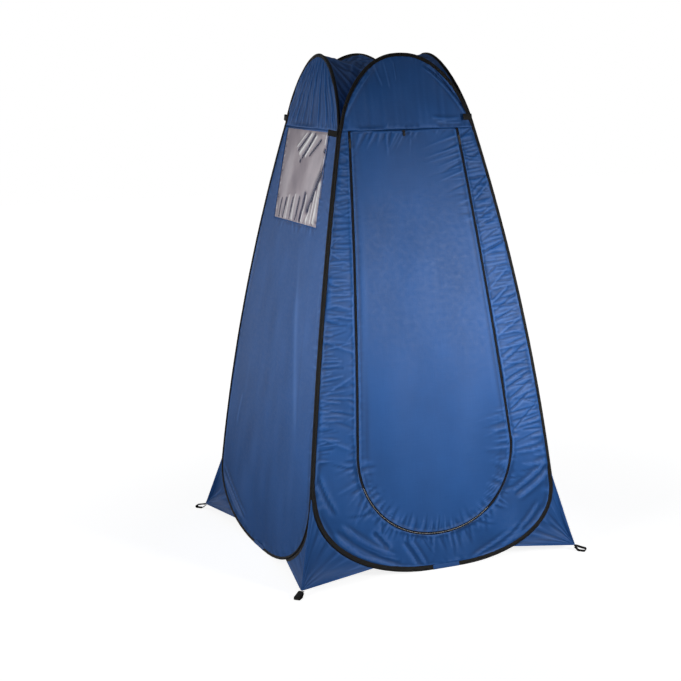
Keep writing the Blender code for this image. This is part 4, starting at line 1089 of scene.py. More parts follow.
def make_surround():
    """The cloth between the zip and the front hoop, puckered along both."""
    (zip_u, zip_z), (hoop_u, hoop_z) = strip_ends()
    t = np.linspace(0, 1, 30)
    u = zip_u[:, None] + (hoop_u - zip_u)[:, None] * t
    z = zip_z[:, None] + (hoop_z - zip_z)[:, None] * t
    s = line_length(zip_u, zip_z)
    total = s[-1]
    along = np.broadcast_to(s[:, None], u.shape)
    wide = np.hypot(hoop_u - zip_u, hoop_z - zip_z)[:, None]
    off_zip = t * wide
    off_hoop = (1 - t) * wide
    side_run = TOP_SEAM - DOOR_WIDEST
    right = along > total - side_run - 0.12
    left = along < side_run
    low = ~left & ~right
    lift = gathers(along, off_zip, total, 0.0165, 0.0052, 0.045, 0.0022, 81, spread=0.35)
    lift += gathers(along, off_hoop, total, 0.026, 0.0060, 0.045, 0.0020, 82, spread=0.35)
    up_right = total - side_run
    span = gathers(along, off_zip, side_run, 0.0500, 0.0052, 0.135, 0.0042, 83, tilt=0.62, spread=0.16,
                   span=True, start=up_right, power=1.7, ridges=0.3)
    span += gathers(along, off_hoop, side_run + 0.12, 0.0125, 0.0034, 0.120, 0.0025, 89, tilt=-0.12, spread=0.13,
                    span=True, start=up_right - 0.12)
    lift += np.where(right, span, 0.0)
    fine = gathers(along, off_zip, side_run, 0.055, 0.0055, 0.16, 0.0022, 84, tilt=-0.25, spread=0.30, span=True)
    fine += gathers(along, off_hoop, side_run, 0.0125, 0.0034, 0.090, 0.0019, 90, spread=0.12, span=True)
    lift += np.where(left, fine, 0.0)
    lift += np.where(low, gathers(along, off_zip, total - 2 * side_run, 0.019, 0.0040, 0.095, 0.0038, 87, tilt=0.1,
                                  spread=0.30, start=side_run, ridges=0.4), 0.0)
    lift += bent_folds(u, z, FRONT_LOW_FOLDS)
    drape = waves(u, z, 0.19, 88, 1.4) * 0.0018
    lift = lift + drape * pinned(off_hoop, 0.02)
    covered = np.where(hoop_u < 0, FIN_FOOT["front"][-1], FIN_FOOT["front"][1]) - CLOTH_EDGE
    covered = (covered * smooth_step((0.33 - hoop_z) / 0.06))[:, None]
    lift = lift * pinned(off_hoop - covered, 0.008) * pinned(off_zip, 0.006) * seam_fade(z, TOP_SEAM, 0.008)
    lift += zip_hem(off_zip)
    obj = sheet("front_cloth", "front", u, z, lift, cloth_blue, "front", ["front_panel"])
    rows = [(*zip_line(ZIP_LAP - 0.0040), 0.0019)]
    stitch_rows("door_surround_stitches", "front", rows, blue_thread, "front", slot="cloth", pitch=0.0042)
    return obj


def make_door():
    """The door's cloth inside the zip, slack at its top corners and gathered round the bottom."""
    inset = 2 * TAPE_WIDTH + ZIP_PARTING + 2 * TOUCH_GAP - ZIP_LAP
    top = TOP_SEAM - DOOR_HINGE_GAP - HINGE_SLACK
    line_u, line_z = zip_line(inset, 0.002, top)
    middle = np.argmin(line_z)
    bottom = line_z[middle]
    turn = np.linspace(0.09, QUARTER, 52)
    heights = bottom + (DOOR_WIDEST - bottom) * (1 - np.cos(turn))
    middle_rows = np.linspace(DOOR_WIDEST, DOOR_FINE, round((DOOR_FINE - DOOR_WIDEST) / 0.0060) + 1)[1:]
    upper = np.linspace(DOOR_FINE, top, round((top - DOOR_FINE) / 0.0032) + 1)[1:]
    heights = np.concatenate((heights, middle_rows, upper))
    left = np.interp(heights, line_z[:middle + 1][::-1], line_u[:middle + 1][::-1])
    right = np.interp(heights, line_z[middle:], line_u[middle:])
    t = np.linspace(0, 1, 96)
    u = left[:, None] + (right - left)[:, None] * t
    z = np.broadcast_to(heights[:, None], u.shape).copy()
    z[0] = np.interp(u[0], line_u[line_z < heights[0] + 0.002], line_z[line_z < heights[0] + 0.002])
    along, away = nearest(u, z, line_u, line_z)
    total = line_length(line_u, line_z)[-1]
    side_run = top - DOOR_WIDEST
    from_top = top - z
    lift = gathers(along, away, side_run, 0.0125, 0.0048, 0.030, 0.0007, 91, spread=0.3)
    lift += gathers(along, away, total - 2 * side_run, 0.0105, 0.0036, 0.062, 0.0026, 92, spread=0.16, start=side_run,
                    ridges=0.4)
    lift += gathers(along, away, 0.160, 0.0145, 0.0036, 0.150, 0.0036, 93, tilt=-0.16, spread=0.08,
                    start=total - 0.172, ridges=0.8)
    lift += gathers(along, away, 0.20, 0.0190, 0.0042, 0.090, 0.0016, 98, tilt=-0.10, spread=0.12,
                    start=total - 0.36)
    lift += gathers(along, away, 0.22, 0.0115, 0.0038, 0.110, 0.0022, 94, spread=0.12,
                    start=total - side_run - 0.10)
    slanted = gathers(u + 1, from_top, 0.26, 0.0165, 0.0060, 0.085, 0.0030, 95, tilt=-0.55, spread=0.22,
                      start=1 + left[-1] + 0.03)
    slanted += gathers(u + 1, from_top, 0.30, 0.030, 0.0070, 0.045, 0.0014, 96, tilt=-0.2, spread=0.4, start=0.97)
    lift += slanted * pinned(from_top, 0.010)
    drape = waves(u, z, 0.34, 97, 1.4) * 0.0020
    lift += drape * pinned(away, 0.04)
    lift = lift * pinned(away, 0.006) * seam_fade(z, top, 0.008)
    lift += zip_hem(away) * smooth_step(from_top / HINGE_ROOM)
    obj = sheet("door_cloth", "front", u, z, lift, cloth_blue, "door", ["door_panel"])
    rows = [(*zip_line(inset + 0.0040, top=top - HINGE_ROOM), 0.0019)]
    stitch_rows("door_stitches", "front", rows, blue_thread, "door", slot="cloth", pitch=0.0042)
    return obj


def make_top_panel(side, columns, seed):
    """The arched piece over the level seam, drawn tight into the arch."""
    line_u, line_z = hoop_line(side, 0.002, CLOTH_EDGE)
    arch_top = line_z.max()
    turn = np.linspace(0, math.radians(80), 64)
    heights = TOP_SEAM + (arch_top - TOP_SEAM) * np.sin(turn)
    left = hoop_lateral(side, -1, heights, CLOTH_EDGE)
    right = hoop_lateral(side, 1, heights, CLOTH_EDGE)
    t = np.linspace(0, 1, columns)
    u = left[:, None] + (right - left)[:, None] * t
    z = np.broadcast_to(heights[:, None], u.shape)
    arch = line_z > heights[-1] - 0.01
    order = np.argsort(line_u[arch])
    last_u = u[-1]
    last_z = np.interp(last_u, line_u[arch][order], line_z[arch][order])
    extra = np.linspace(0, 1, 5)[1:, None]
    u = np.concatenate((u, np.broadcast_to(last_u, (4, columns))))
    z = np.concatenate((z, z[-1] + (last_z - z[-1]) * extra))
    along, away = nearest(u, z, line_u, line_z)
    total = line_length(line_u, line_z)[-1]
    from_seam = z - TOP_SEAM
    sway = TOP_SWAY[side]
    fan_u = (u - sway * from_seam / ARCH_RISE) / (1.02 - 0.62 * from_seam / ARCH_RISE)
    lift = np.zeros(u.shape)
    if side == "front":
        lift += waves(u, z, 0.030, seed + 5, 14.0) * 0.00016
        lift += bent_folds(u, z, FRONT_TOP_FOLDS)
    elif side == "left":
        for place_u in LEFT_TOP_STREAKS:
            top_u = sway * 0.9 + (place_u - sway) * 0.42
            base_u = place_u + (place_u - top_u) * 0.6
            lift += crease(u, z, (base_u, 1.628), (top_u, 1.885), 0.0062, 0.0052, fade=0.10)
        lift += waves(fan_u, z * 0.1, 0.016, seed + 7) * 0.00040
    else:
        streaks = gathers(fan_u + 1, from_seam + 0.02, 0.52, 0.030, 0.0062, 0.42, 0.0040, seed + 6, spread=0.03,
                          start=0.74, power=1.5)
        lift += streaks * smooth_step((arch_top - z) / 0.03)
        lift += waves(fan_u, z * 0.1, 0.016, seed + 7) * 0.00045
    lift += gathers(u + 1, from_seam, 0.6, 0.019, 0.0050, 0.030, 0.0012, seed + 8, spread=0.4, start=0.7)
    lift += gathers(along, away, total, 0.023, 0.0052, 0.030, 0.0012, seed + 9, spread=0.4)
    lift += waves(u, z, 0.20, seed + 10) * 0.0014 * pinned(away, 0.03)
    lift = lift * pinned(away, 0.008) * smooth_step(from_seam / 0.010)
    lift += 0.0011 * np.exp(-((from_seam / 0.0075) ** 4))
    obj = sheet(f"{side}_top_cloth", side, u, z, lift, cloth_blue, side, [f"{side}_top_panel"])
    seam_u = np.linspace(left[0] + 0.002, right[0] - 0.002, 100)
    rows = [(seam_u, np.full(100, TOP_SEAM + 0.0055), 0.0013)]
    stitch_rows(f"{side}_seam_stitches", side, rows, blue_thread, side, slot="cloth", pitch=0.0042)
    return obj


# Folds of the front top panel: points, half width and height
FRONT_TOP_FOLDS = (
    (((-0.284, 1.640), (-0.212, 1.757), (-0.118, 1.856)), 0.0050, -0.0066),
    (((-0.294, 1.650), (-0.224, 1.768), (-0.130, 1.868)), 0.0045, 0.0050),
    (((-0.262, 1.645), (-0.192, 1.752), (-0.105, 1.845)), 0.0075, 0.0030),
    (((0.262, 1.650), (0.185, 1.772), (0.080, 1.864)), 0.0046, -0.0064),
    (((0.252, 1.648), (0.174, 1.764), (0.072, 1.854)), 0.0050, 0.0046),
    (((0.208, 1.735), (0.175, 1.790), (0.130, 1.842)), 0.0036, -0.0052),
    (((0.216, 1.742), (0.184, 1.797), (0.138, 1.849)), 0.0034, 0.0034),
    (((0.268, 1.700), (0.222, 1.772), (0.160, 1.838)), 0.0036, 0.0034),
    (((-0.118, 1.872), (-0.100, 1.826), (-0.084, 1.772)), 0.0034, 0.0014),
    (((-0.075, 1.876), (-0.064, 1.826), (-0.056, 1.760)), 0.0032, 0.0010),
    (((-0.034, 1.876), (-0.030, 1.836), (-0.028, 1.790)), 0.0032, 0.0010),
    (((0.230, 1.655), (0.165, 1.652), (0.095, 1.660)), 0.0040, 0.0026),
    (((0.232, 1.640), (0.175, 1.640), (0.110, 1.646)), 0.0040, 0.0022),
)
# Where the left top panel's streaks start above its seam
LEFT_TOP_STREAKS = (-0.262, -0.234, -0.182, -0.147, -0.092, -0.030, 0.038, 0.097, 0.146, 0.196)


# Zip

def ribbon_section(low, high, half):
    """A flat band with rounded edges, from one distance to another."""
    edge = half * 0.9
    inward = [high, high - edge, (low + high) / 2, low + edge, low, low + edge, (low + high) / 2, high - edge]
    lift = [0.0, half, half, half, 0.0, -half, -half, -half]
    return np.array(inward), np.array(lift)


def make_zip():
    """Both tapes, the interlocking coils along their parting, and the rows of stitches."""
    parting = TAPE_WIDTH + TOUCH_GAP + ZIP_PARTING / 2
    door_top = TOP_SEAM - DOOR_HINGE_GAP
    frame_u, frame_z = zip_line(0.0, 0.004)
    section = ribbon_section(-0.002, TAPE_WIDTH + TOUCH_GAP, 0.0006)
    sweep("zip_frame_side", "front", frame_u, frame_z, section, zip_tape, "front", ["frame_zip_tape"])
    door_u, door_z = zip_line(0.0, 0.004, door_top)
    low = TAPE_WIDTH + TOUCH_GAP + ZIP_PARTING
    section = ribbon_section(low, low + TAPE_WIDTH + 0.002, 0.0006)
    sweep("zip_door_side", "front", door_u, door_z, section, zip_tape, "door", ["door_zip_tape"])
    for body, way, phase in (("front", -1, 0.0), ("door", 1, 0.5)):
        make_teeth(body, way, phase, parting, door_top - 0.004)
    for body, at in (("front", 0.0028), ("door", low + TAPE_WIDTH - 0.0028)):
        rows = [(*zip_line(at, top=door_top - HINGE_ROOM), 0.0007)]
        stitch_rows(f"zip_{body}_stitches", "front", rows, thread, body, slot="zip_tape", pitch=0.0040,
                    length=0.0028, radius=0.00034)


def make_teeth(body, way, phase, parting, top):
    """Half of the coil: short bent links that reach past the parting from one tape."""
    pitch = 0.0026
    u, z = zip_line(parting, 0.0013, top)
    s = line_length(u, z)
    at = np.arange(pitch * (0.5 + phase), s[-1], pitch)
    cu = np.interp(at, s, u)
    cz = np.interp(at, s, z)
    nu, nz = left_of(u, z)
    nu = np.interp(at, s, nu)
    nz = np.interp(at, s, nz)
    out = side_normal("front", cz)
    inward = place("front", nu, lean(cz) * nz, nz)
    inward /= np.linalg.norm(inward, axis=1, keepdims=True)
    along = np.cross(out, inward)
    centre = on_side("front", cu, cz, np.full(len(cu), 0.0010))
    ring = ((-0.0030, -0.0004), (-0.0022, 0.0004), (0.0, 0.0006), (0.0008, 0.0002))
    points = []
    for reach_in, rise in ring:
        for a, b in ((0.00045, 0.0), (0.0, 0.0005), (-0.00045, 0.0), (0.0, -0.0005)):
            points.append(centre + inward * (reach_in * -way * -1) + out * (rise + b) + along * a)
    points = np.stack(points, 1)
    faces = []
    for level in range(3):
        for k in range(4):
            after = (k + 1) % 4
            quad = [level * 4 + k, level * 4 + after, level * 4 + 4 + after, level * 4 + 4 + k]
            faces.append(quad if way > 0 else quad[::-1])
    faces.append([3, 2, 1, 0] if way > 0 else [0, 1, 2, 3])
    faces.append([12, 13, 14, 15] if way > 0 else [15, 14, 13, 12])
    faces = (np.arange(len(cu))[:, None, None] * 16 + np.array(faces)[None]).reshape(-1, 4)
    cut = np.zeros((len(cu) * 16, 3))
    obj = add_mesh(f"zip_{body}_coil", points, faces, zip_coil, cut, np.zeros(len(cu) * 16))
    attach(obj, body)
    return obj


# Small fittings

def local_frame(origin, x_axis, y_axis):
    """Origin and square axes with x along the first direction and y towards the second."""
    x_axis = np.array(x_axis, float)
    x_axis /= np.linalg.norm(x_axis)
    z_axis = np.cross(x_axis, np.array(y_axis, float))
    z_axis /= np.linalg.norm(z_axis)
    return np.array(origin, float), x_axis, np.cross(z_axis, x_axis), z_axis


def in_frame(spot, points):
    origin, x_axis, y_axis, z_axis = spot
    points = np.asarray(points, float)
    return origin + points[..., :1] * x_axis + points[..., 1:2] * y_axis + points[..., 2:3] * z_axis


def plate_part(outline, low, high):
    """Points and faces of a flat outline made thick between two heights."""
    count = len(outline)
    points = [(x, y, low) for x, y in outline] + [(x, y, high) for x, y in outline]
    faces = [list(range(count))[::-1], list(range(count, 2 * count))]
    for i in range(count):
        after = (i + 1) % count
        faces.append([i, after, count + after, count + i])
    return points, faces


def join_parts(parts):
    points, faces = [], []
    for part_points, part_faces in parts:
        start = len(points)
        points += list(part_points)
        faces += [[start + i for i in face] for face in part_faces]
    return points, faces


def fitting(name, spot, parts, material, body, nodes, bevel=0.0003, segments=2):
    points, faces = join_parts(parts)
    obj = add_mesh(name, in_frame(spot, points), faces, material, smooth=False)
    if bevel:
        edge = obj.modifiers.new("edges", "BEVEL")
        edge.width = bevel
        edge.segments = segments
        edge.limit_method = "ANGLE"
    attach(obj, body)
    if nodes:
        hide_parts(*nodes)
    return obj


def slider_spot(sign):
    """Placement at a slider's middle: x across the zip towards the door, y along it, z outwards."""
    high, low = zip_side_width(sign)
    slope = (high - low) / (TOP_SEAM - DOOR_WIDEST)
    height = TOP_SEAM - SLIDER_REST_DROP
    middle = TAPE_WIDTH + TOUCH_GAP + ZIP_PARTING / 2
    lateral = high - sign * middle - slope * SLIDER_REST_DROP
    rise = place("front", slope, float(lean(height)), 1.0)
    normal = side_normal("front", height)
    towards = np.cross(rise, normal) * -sign
    return local_frame(on_side("front", lateral, height), towards, rise * -sign)


def make_slider(sign, word):
    """A tapered body over the coils with a bridge for its pull, and a plate behind that holds the door."""
    spot = slider_spot(sign)
    up = -sign
    wide, narrow, half = 0.0046, 0.0034, 0.0062
    body = [(-wide, up * half * 0.9), (-wide * 0.8, up * half), (-0.0012, up * half), (0, up * half * 0.7),
            (0.0012, up * half), (wide * 0.8, up * half), (wide, up * half * 0.9), (wide, up * half * 0.2),
            (narrow, -up * half * 0.75), (narrow * 0.75, -up * half), (-narrow * 0.75, -up * half),
            (-narrow, -up * half * 0.75), (-wide, up * half * 0.2)]
    if up < 0:
        body = body[::-1]
    under = [(max(x, -0.0003), y) for x, y in body]
    over = 0.0016
    face = over + 0.0015
    post = [(x, up * y) for x, y in ((-0.0003, 0.0028), (0.0001, 0.0028), (0.0001, 0.0054), (-0.0003, 0.0054))]
    if up < 0:
        post = post[::-1]
    bridge = bridge_part(face - 0.0001, 0.0021, 0.0030)
    plates = [plate_part(body, over, face), plate_part(under, -face, -over), plate_part(post, -over, over)]
    obj = fitting(f"zip_slider_{word}_body", spot, plates + [bridge], plastic, f"slider_{word}",
                  [f"zip_slider_{word}"])
    return obj


def bridge_part(base, half, rise):
    """A low arch of rectangular section along y, which the pull's bar passes under."""
    wide = 0.0010
    turns = np.linspace(0, math.pi, 9)
    points, faces = [], []
    for turn in turns:
        for thick in (0.0, 0.0009):
            y = -(half + thick) * math.cos(turn)
            z = base + (rise - 0.0009 + thick) * math.sin(turn) ** 0.7
            points += [(-wide, y, z), (wide, y, z)]
    for i in range(len(turns) - 1):
        a, b = 4 * i, 4 * i + 4
        faces += [[a, b, b + 1, a + 1], [a + 2, a + 3, b + 3, b + 2], [a, a + 2, b + 2, b], [a + 1, b + 1, b + 3, a + 3]]
    last = 4 * (len(turns) - 1)
    faces += [[0, 1, 3, 2], [last, last + 2, last + 3, last + 1]]
    return points, faces


def make_pull(sign, word):
    """A tab that hangs from the bridge, with a ribbed grip."""
    node = frame["nodes"][f"zip_pull_{word}"]
    joint = next(item for item in frame["joints"] if item["child"] == f"pull_{word}")
    rise = slider_spot(sign)[2] * -sign
    spot = local_frame(joint["pos_m"], -np.array(joint["axis"]), rise)
    half = 0.0040
    bottom = -0.0294
    corner = 0.0022
    arc = [(half - corner + corner * math.sin(a), bottom + corner - corner * math.cos(a))
           for a in np.linspace(0, QUARTER, 5)]
    outline = arc + [(half * 0.85, -0.012), (half * 0.8, 0.0006), (-half * 0.8, 0.0006), (-half * 0.85, -0.012)]
    outline += [(-x, y) for x, y in arc[::-1]]
    eye = 0.0014
    bar = 0.0006
    low = -0.0046
    outer = outline
    # The tab's head is a frame round the eye: two legs, the bar and the tab below
    legs = [[(-half * 0.8, low), (-eye, low), (-eye, -bar), (-half * 0.8, -bar)],
            [(eye, low), (half * 0.8, low), (half * 0.8, -bar), (eye, -bar)]]
    tab = [(x, min(y, low)) for x, y in outer]
    tab = [point for i, point in enumerate(tab) if point not in tab[:i]]
    head = [(-half * 0.8, -bar), (half * 0.8, -bar), (half * 0.8, bar), (-half * 0.8, bar)]
    parts = [plate_part(shape, -0.0006, 0.0006) for shape in (tab, *legs, head)]
    for k in range(5):
        y = bottom + 0.0035 + k * 0.0022
        rib = [(-half * 0.7, y), (half * 0.7, y), (half * 0.7, y + 0.0009), (-half * 0.7, y + 0.0009)]
        parts += [plate_part(rib, 0.0005, 0.0010), plate_part(rib, -0.0010, -0.0005)]
    assert node
    return fitting(f"zip_pull_{word}_tab", spot, parts, plastic, f"pull_{word}", [f"zip_pull_{word}"],
                   bevel=0.00018)


def turned_part(profile, segments=28):
    """Points and faces of a profile of radius and distance, turned about y."""
    points, faces = [], []
    for radius, y in profile:
        for k in range(segments):
            turn = 2 * math.pi * k / segments
            points.append((radius * math.cos(turn), y, radius * math.sin(turn)))
    for i in range(len(profile) - 1):
        for k in range(segments):
            after = (k + 1) % segments
            faces.append([i * segments + k, (i + 1) * segments + k, (i + 1) * segments + after, i * segments + after])
    last = (len(profile) - 1) * segments
    faces.append(list(range(segments)))
    faces.append([last + k for k in range(segments)][::-1])
    return points, faces


def make_toggle():
    """A waisted barrel with rounded ends on a cord loop sewn to the door."""
    height = TOP_SEAM - TOGGLE_PIVOT_DROP
    pivot = on_side("front", TOGGLE_LATERAL, height, TOGGLE_STANDOFF)
    hang = place("front", 0.0, float(lean(height)), 1.0)
    spot = local_frame(pivot, (1, 0, 0), hang)
    profile = [(0.0014, 0.0036), (0.0036, 0.0035), (0.0046, 0.0029), (0.0049, 0.0018), (0.0048, 0.0009),
               (0.0036, 0.0003), (0.0036, -0.0020), (0.0047, -0.0027), (0.0050, -0.0090), (0.0049, -0.0140),
               (0.0043, -0.0146), (0.0043, -0.0152), (0.0049, -0.0158), (0.0046, -0.0172), (0.0034, -0.0180),
               (0.0014, -0.0182)]
    barrel = fitting("door_toggle_barrel", spot, [turned_part(profile)], plastic, "toggle", ["door_toggle"],
                     bevel=0.0)
    barrel.data.shade_smooth()
    wide, far, bend, lift = 0.0070, TOGGLE_STANDOFF, 0.0022, 0.0002
    route = [(-wide, lift), (-wide, far - bend)]
    route += [(-wide + bend - bend * math.cos(a), far - bend + bend * math.sin(a)) for a in np.linspace(0, QUARTER, 6)[1:]]
    route += [(-x, y) for x, y in route[::-1]]
    across = np.array([x for x, _ in route])
    away = np.array([y for _, y in route])
    points = on_side("front", TOGGLE_LATERAL + across, np.full(len(route), height), away)
    tube_mesh("toggle_cord", points, 0.00122, binding, "door", ["toggle_loop"])


def tube_mesh(name, points, radius, material, body, nodes, sides=10):
    """A round cord along a 3-D line, with a slight lay in its surface."""
    points = np.asarray(points, float)
    along = np.gradient(points, axis=0)
    along /= np.linalg.norm(along, axis=1, keepdims=True)
    ring = []
    reference = np.array((0.0, 0.0, 1.0))
    first = np.cross(along, reference)
    first /= np.maximum(np.linalg.norm(first, axis=1, keepdims=True), 1e-9)
    second = np.cross(along, first)
    for k in range(sides):
        turn = 2 * math.pi * k / sides
        ring.append(points + (first * math.cos(turn) + second * math.sin(turn)) * radius)
    grid = np.stack(ring, 1)
    index = np.arange(grid.shape[0] * sides).reshape(-1, sides)
    following = np.roll(index, -1, axis=1)
    faces = np.stack((index[:-1], following[:-1], following[1:], index[1:]), -1).reshape(-1, 4).tolist()
    faces.append(index[0][::-1].tolist())
    faces.append(index[-1].tolist())
    s = np.concatenate(([0.0], np.cumsum(np.linalg.norm(np.diff(points, axis=0), axis=1))))
    cut = np.stack((np.broadcast_to(s[:, None], index.shape), np.zeros(index.shape), np.zeros(index.shape)), -1)
    obj = add_mesh(name, grid, faces, material, cut, np.zeros(index.shape))
    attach(obj, body)
    if nodes:
        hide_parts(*nodes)
    return obj


# Webbing loops

def band(name, spot, line, width, thickness, material, body, nodes):
    """A woven band bent along a flat line in a frame, with rounded selvedges."""
    line = np.asarray(line, float)
    u, v = resample(line[:, 0], line[:, 1], 0.0011)
    nu, nv = left_of(u, v)
    half = thickness / 2
    edge = width / 2
    turns = np.linspace(-QUARTER, QUARTER, 5)
    section = [(edge - half + half * math.cos(a), half * math.sin(a)) for a in turns]
    section += [(-x, y) for x, y in section[::-1]]
    across = np.array([x for x, _ in section])
    out = np.array([y for _, y in section])
    grid = np.stack((u[:, None] + nu[:, None] * out, v[:, None] + nv[:, None] * out,
                     np.broadcast_to(across, (len(u), len(across)))), -1)
    index = np.arange(len(u) * len(across)).reshape(len(u), -1)
    following = np.roll(index, -1, axis=1)
    faces = np.stack((index[:-1], following[:-1], following[1:], index[1:]), -1).reshape(-1, 4).tolist()
    faces.append(index[0][::-1].tolist())
    faces.append(index[-1].tolist())
    s = line_length(u, v)
    cut = np.stack((np.broadcast_to(s[:, None], index.shape), np.broadcast_to(across, index.shape),
                    np.broadcast_to(out, index.shape)), -1)
    obj = add_mesh(name, in_frame(spot, grid), faces, material, cut, np.zeros(index.shape))
    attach(obj, body)
    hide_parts(*nodes)
    return obj


def rounded_end(start, end, low, high, steps=18):
    middle = (low + high) / 2
    half = (high - low) / 2
    turns = [math.pi * (i / steps - 0.5) for i in range(steps + 1)]
    return [(start + (end - start) * math.cos(turn), middle + half * math.sin(turn)) for turn in turns]


def make_stake_loop(corner):
    sign = CORNERS[corner]["sign"]
    tip = np.array((sign[0], sign[1], 0.0)) * GUSSET_TIP_REACH
    half = LOOP_WEB / 2
    top = GUSSET_TIP_HEIGHT - 0.0009 - half
    start, end = STAKE_LOOP_FLAT
    line = [(-0.0025, 0.0125), (0.002, 0.0112), (start - 0.003, 0.0028), (start, half + 0.0004), (start + 0.006, half)]
    line += rounded_end(end, STAKE_LOOP_LENGTH - half, half, STAKE_LOOP_RISE - half)
    line += [(0.020, 0.0150), (0.006, 0.0181), (0.002, top), (-0.004, top)]
    spot = local_frame(tip, (sign[0], sign[1], 0), (0, 0, 1))
    body = CORNERS[corner]["halves"][0]
    obj = band(f"{corner}_stake_webbing", spot, line, LOOP_WIDTH, LOOP_WEB, webbing, body,
               [f"{corner}_stake_loop"])
    bar_tack(f"{corner}_stake_tack", spot, (0.0012, top + half), LOOP_WIDTH, body)
    return obj


def bar_tack(name, spot, at, width, body):
    """Close stitches across a band's root, standing on its upper face."""
    origin, x_axis, y_axis, z_axis = spot
    count = 15
    across = np.linspace(-width * 0.40, width * 0.40, count)
    centres = np.stack([in_frame(spot, (at[0] + (0.0008 if k % 2 else -0.0008), at[1], a))
                        for k, a in enumerate(across)])
    ones = np.ones((count, 1))
    return stitches(name, centres, ones * x_axis, ones * z_axis, ones * y_axis, thread, body, length=0.0046,
                    radius=0.0006, slot="webbing")


def guy_spot(corner):
    side, direction = GUY_LOOPS[corner]
    height = UPPER_JOINT - GUY_LOOP_DROP[corner]
    end = 1 if SIDES[side]["plus"] == corner else -1
    across = np.array((*SIDES[side]["across"], 0.0))
    surface = on_side(side, float(hoop_lateral(side, end, height)), height)
    normal = side_normal(side, height)
    if direction == "out":
        return local_frame(surface + normal * (SLEEVE_RADIUS + TOUCH_GAP), normal, across)
    lift = SLEEVE_RADIUS + TOUCH_GAP + GUY_LOOP_OPENING / 2 + LOOP_WEB
    return local_frame(surface + normal * lift, across * direction, normal)


def make_guy_loop(corner):
    side = GUY_LOOPS[corner][0]
    spot = guy_spot(corner)
    half = GUY_LOOP_OPENING / 2 + LOOP_WEB / 2
    line = [(-0.001, -half * 0.55), (0.004, -half * 0.9)]
    line += rounded_end(GUY_LOOP_LENGTH - half - 0.002, GUY_LOOP_LENGTH - LOOP_WEB / 2, -half, half)
    line += [(0.004, half * 0.9), (-0.001, half * 0.55)]
    obj = band(f"{corner}_guy_webbing", spot, line, LOOP_WIDTH, LOOP_WEB, webbing, side, [f"{corner}_guy_loop"])
    bar_tack(f"{corner}_guy_tack", spot, (0.0035, half * 0.9 + LOOP_WEB / 2), LOOP_WIDTH, side)
    return obj


# Gussets

def gusset_rim(corner, side, count):
    """The lower arc of a hoop from the joint down to where the gusset ends, tucked into the binding."""
    sign = 1 if SIDES[side]["plus"] == corner else -1
    joint = LOWER_JOINT[corner]
    turn = np.linspace(QUARTER, QUARTER * GUSSET_END_SHARE, count)
    drop = np.clip(np.cos(turn), 0, 1) ** (2 / LOWER_ROUNDNESS)
    z = joint - (joint - SLEEVE_RADIUS) * drop
    wide = FOOT + (reach(z) - SEAM_SET - FOOT) * np.sin(turn) ** (2 / LOWER_ROUNDNESS)
    u = sign * wide + BOTTOM_SWAY[side] * drop
    shift = (SLEEVE_RADIUS - GUSSET_TUCK) * sign
    nu, nz = left_of(u, z)
    u, z = u + nu * shift, z + nz * shift
    return place(side, u, reach(z), z)


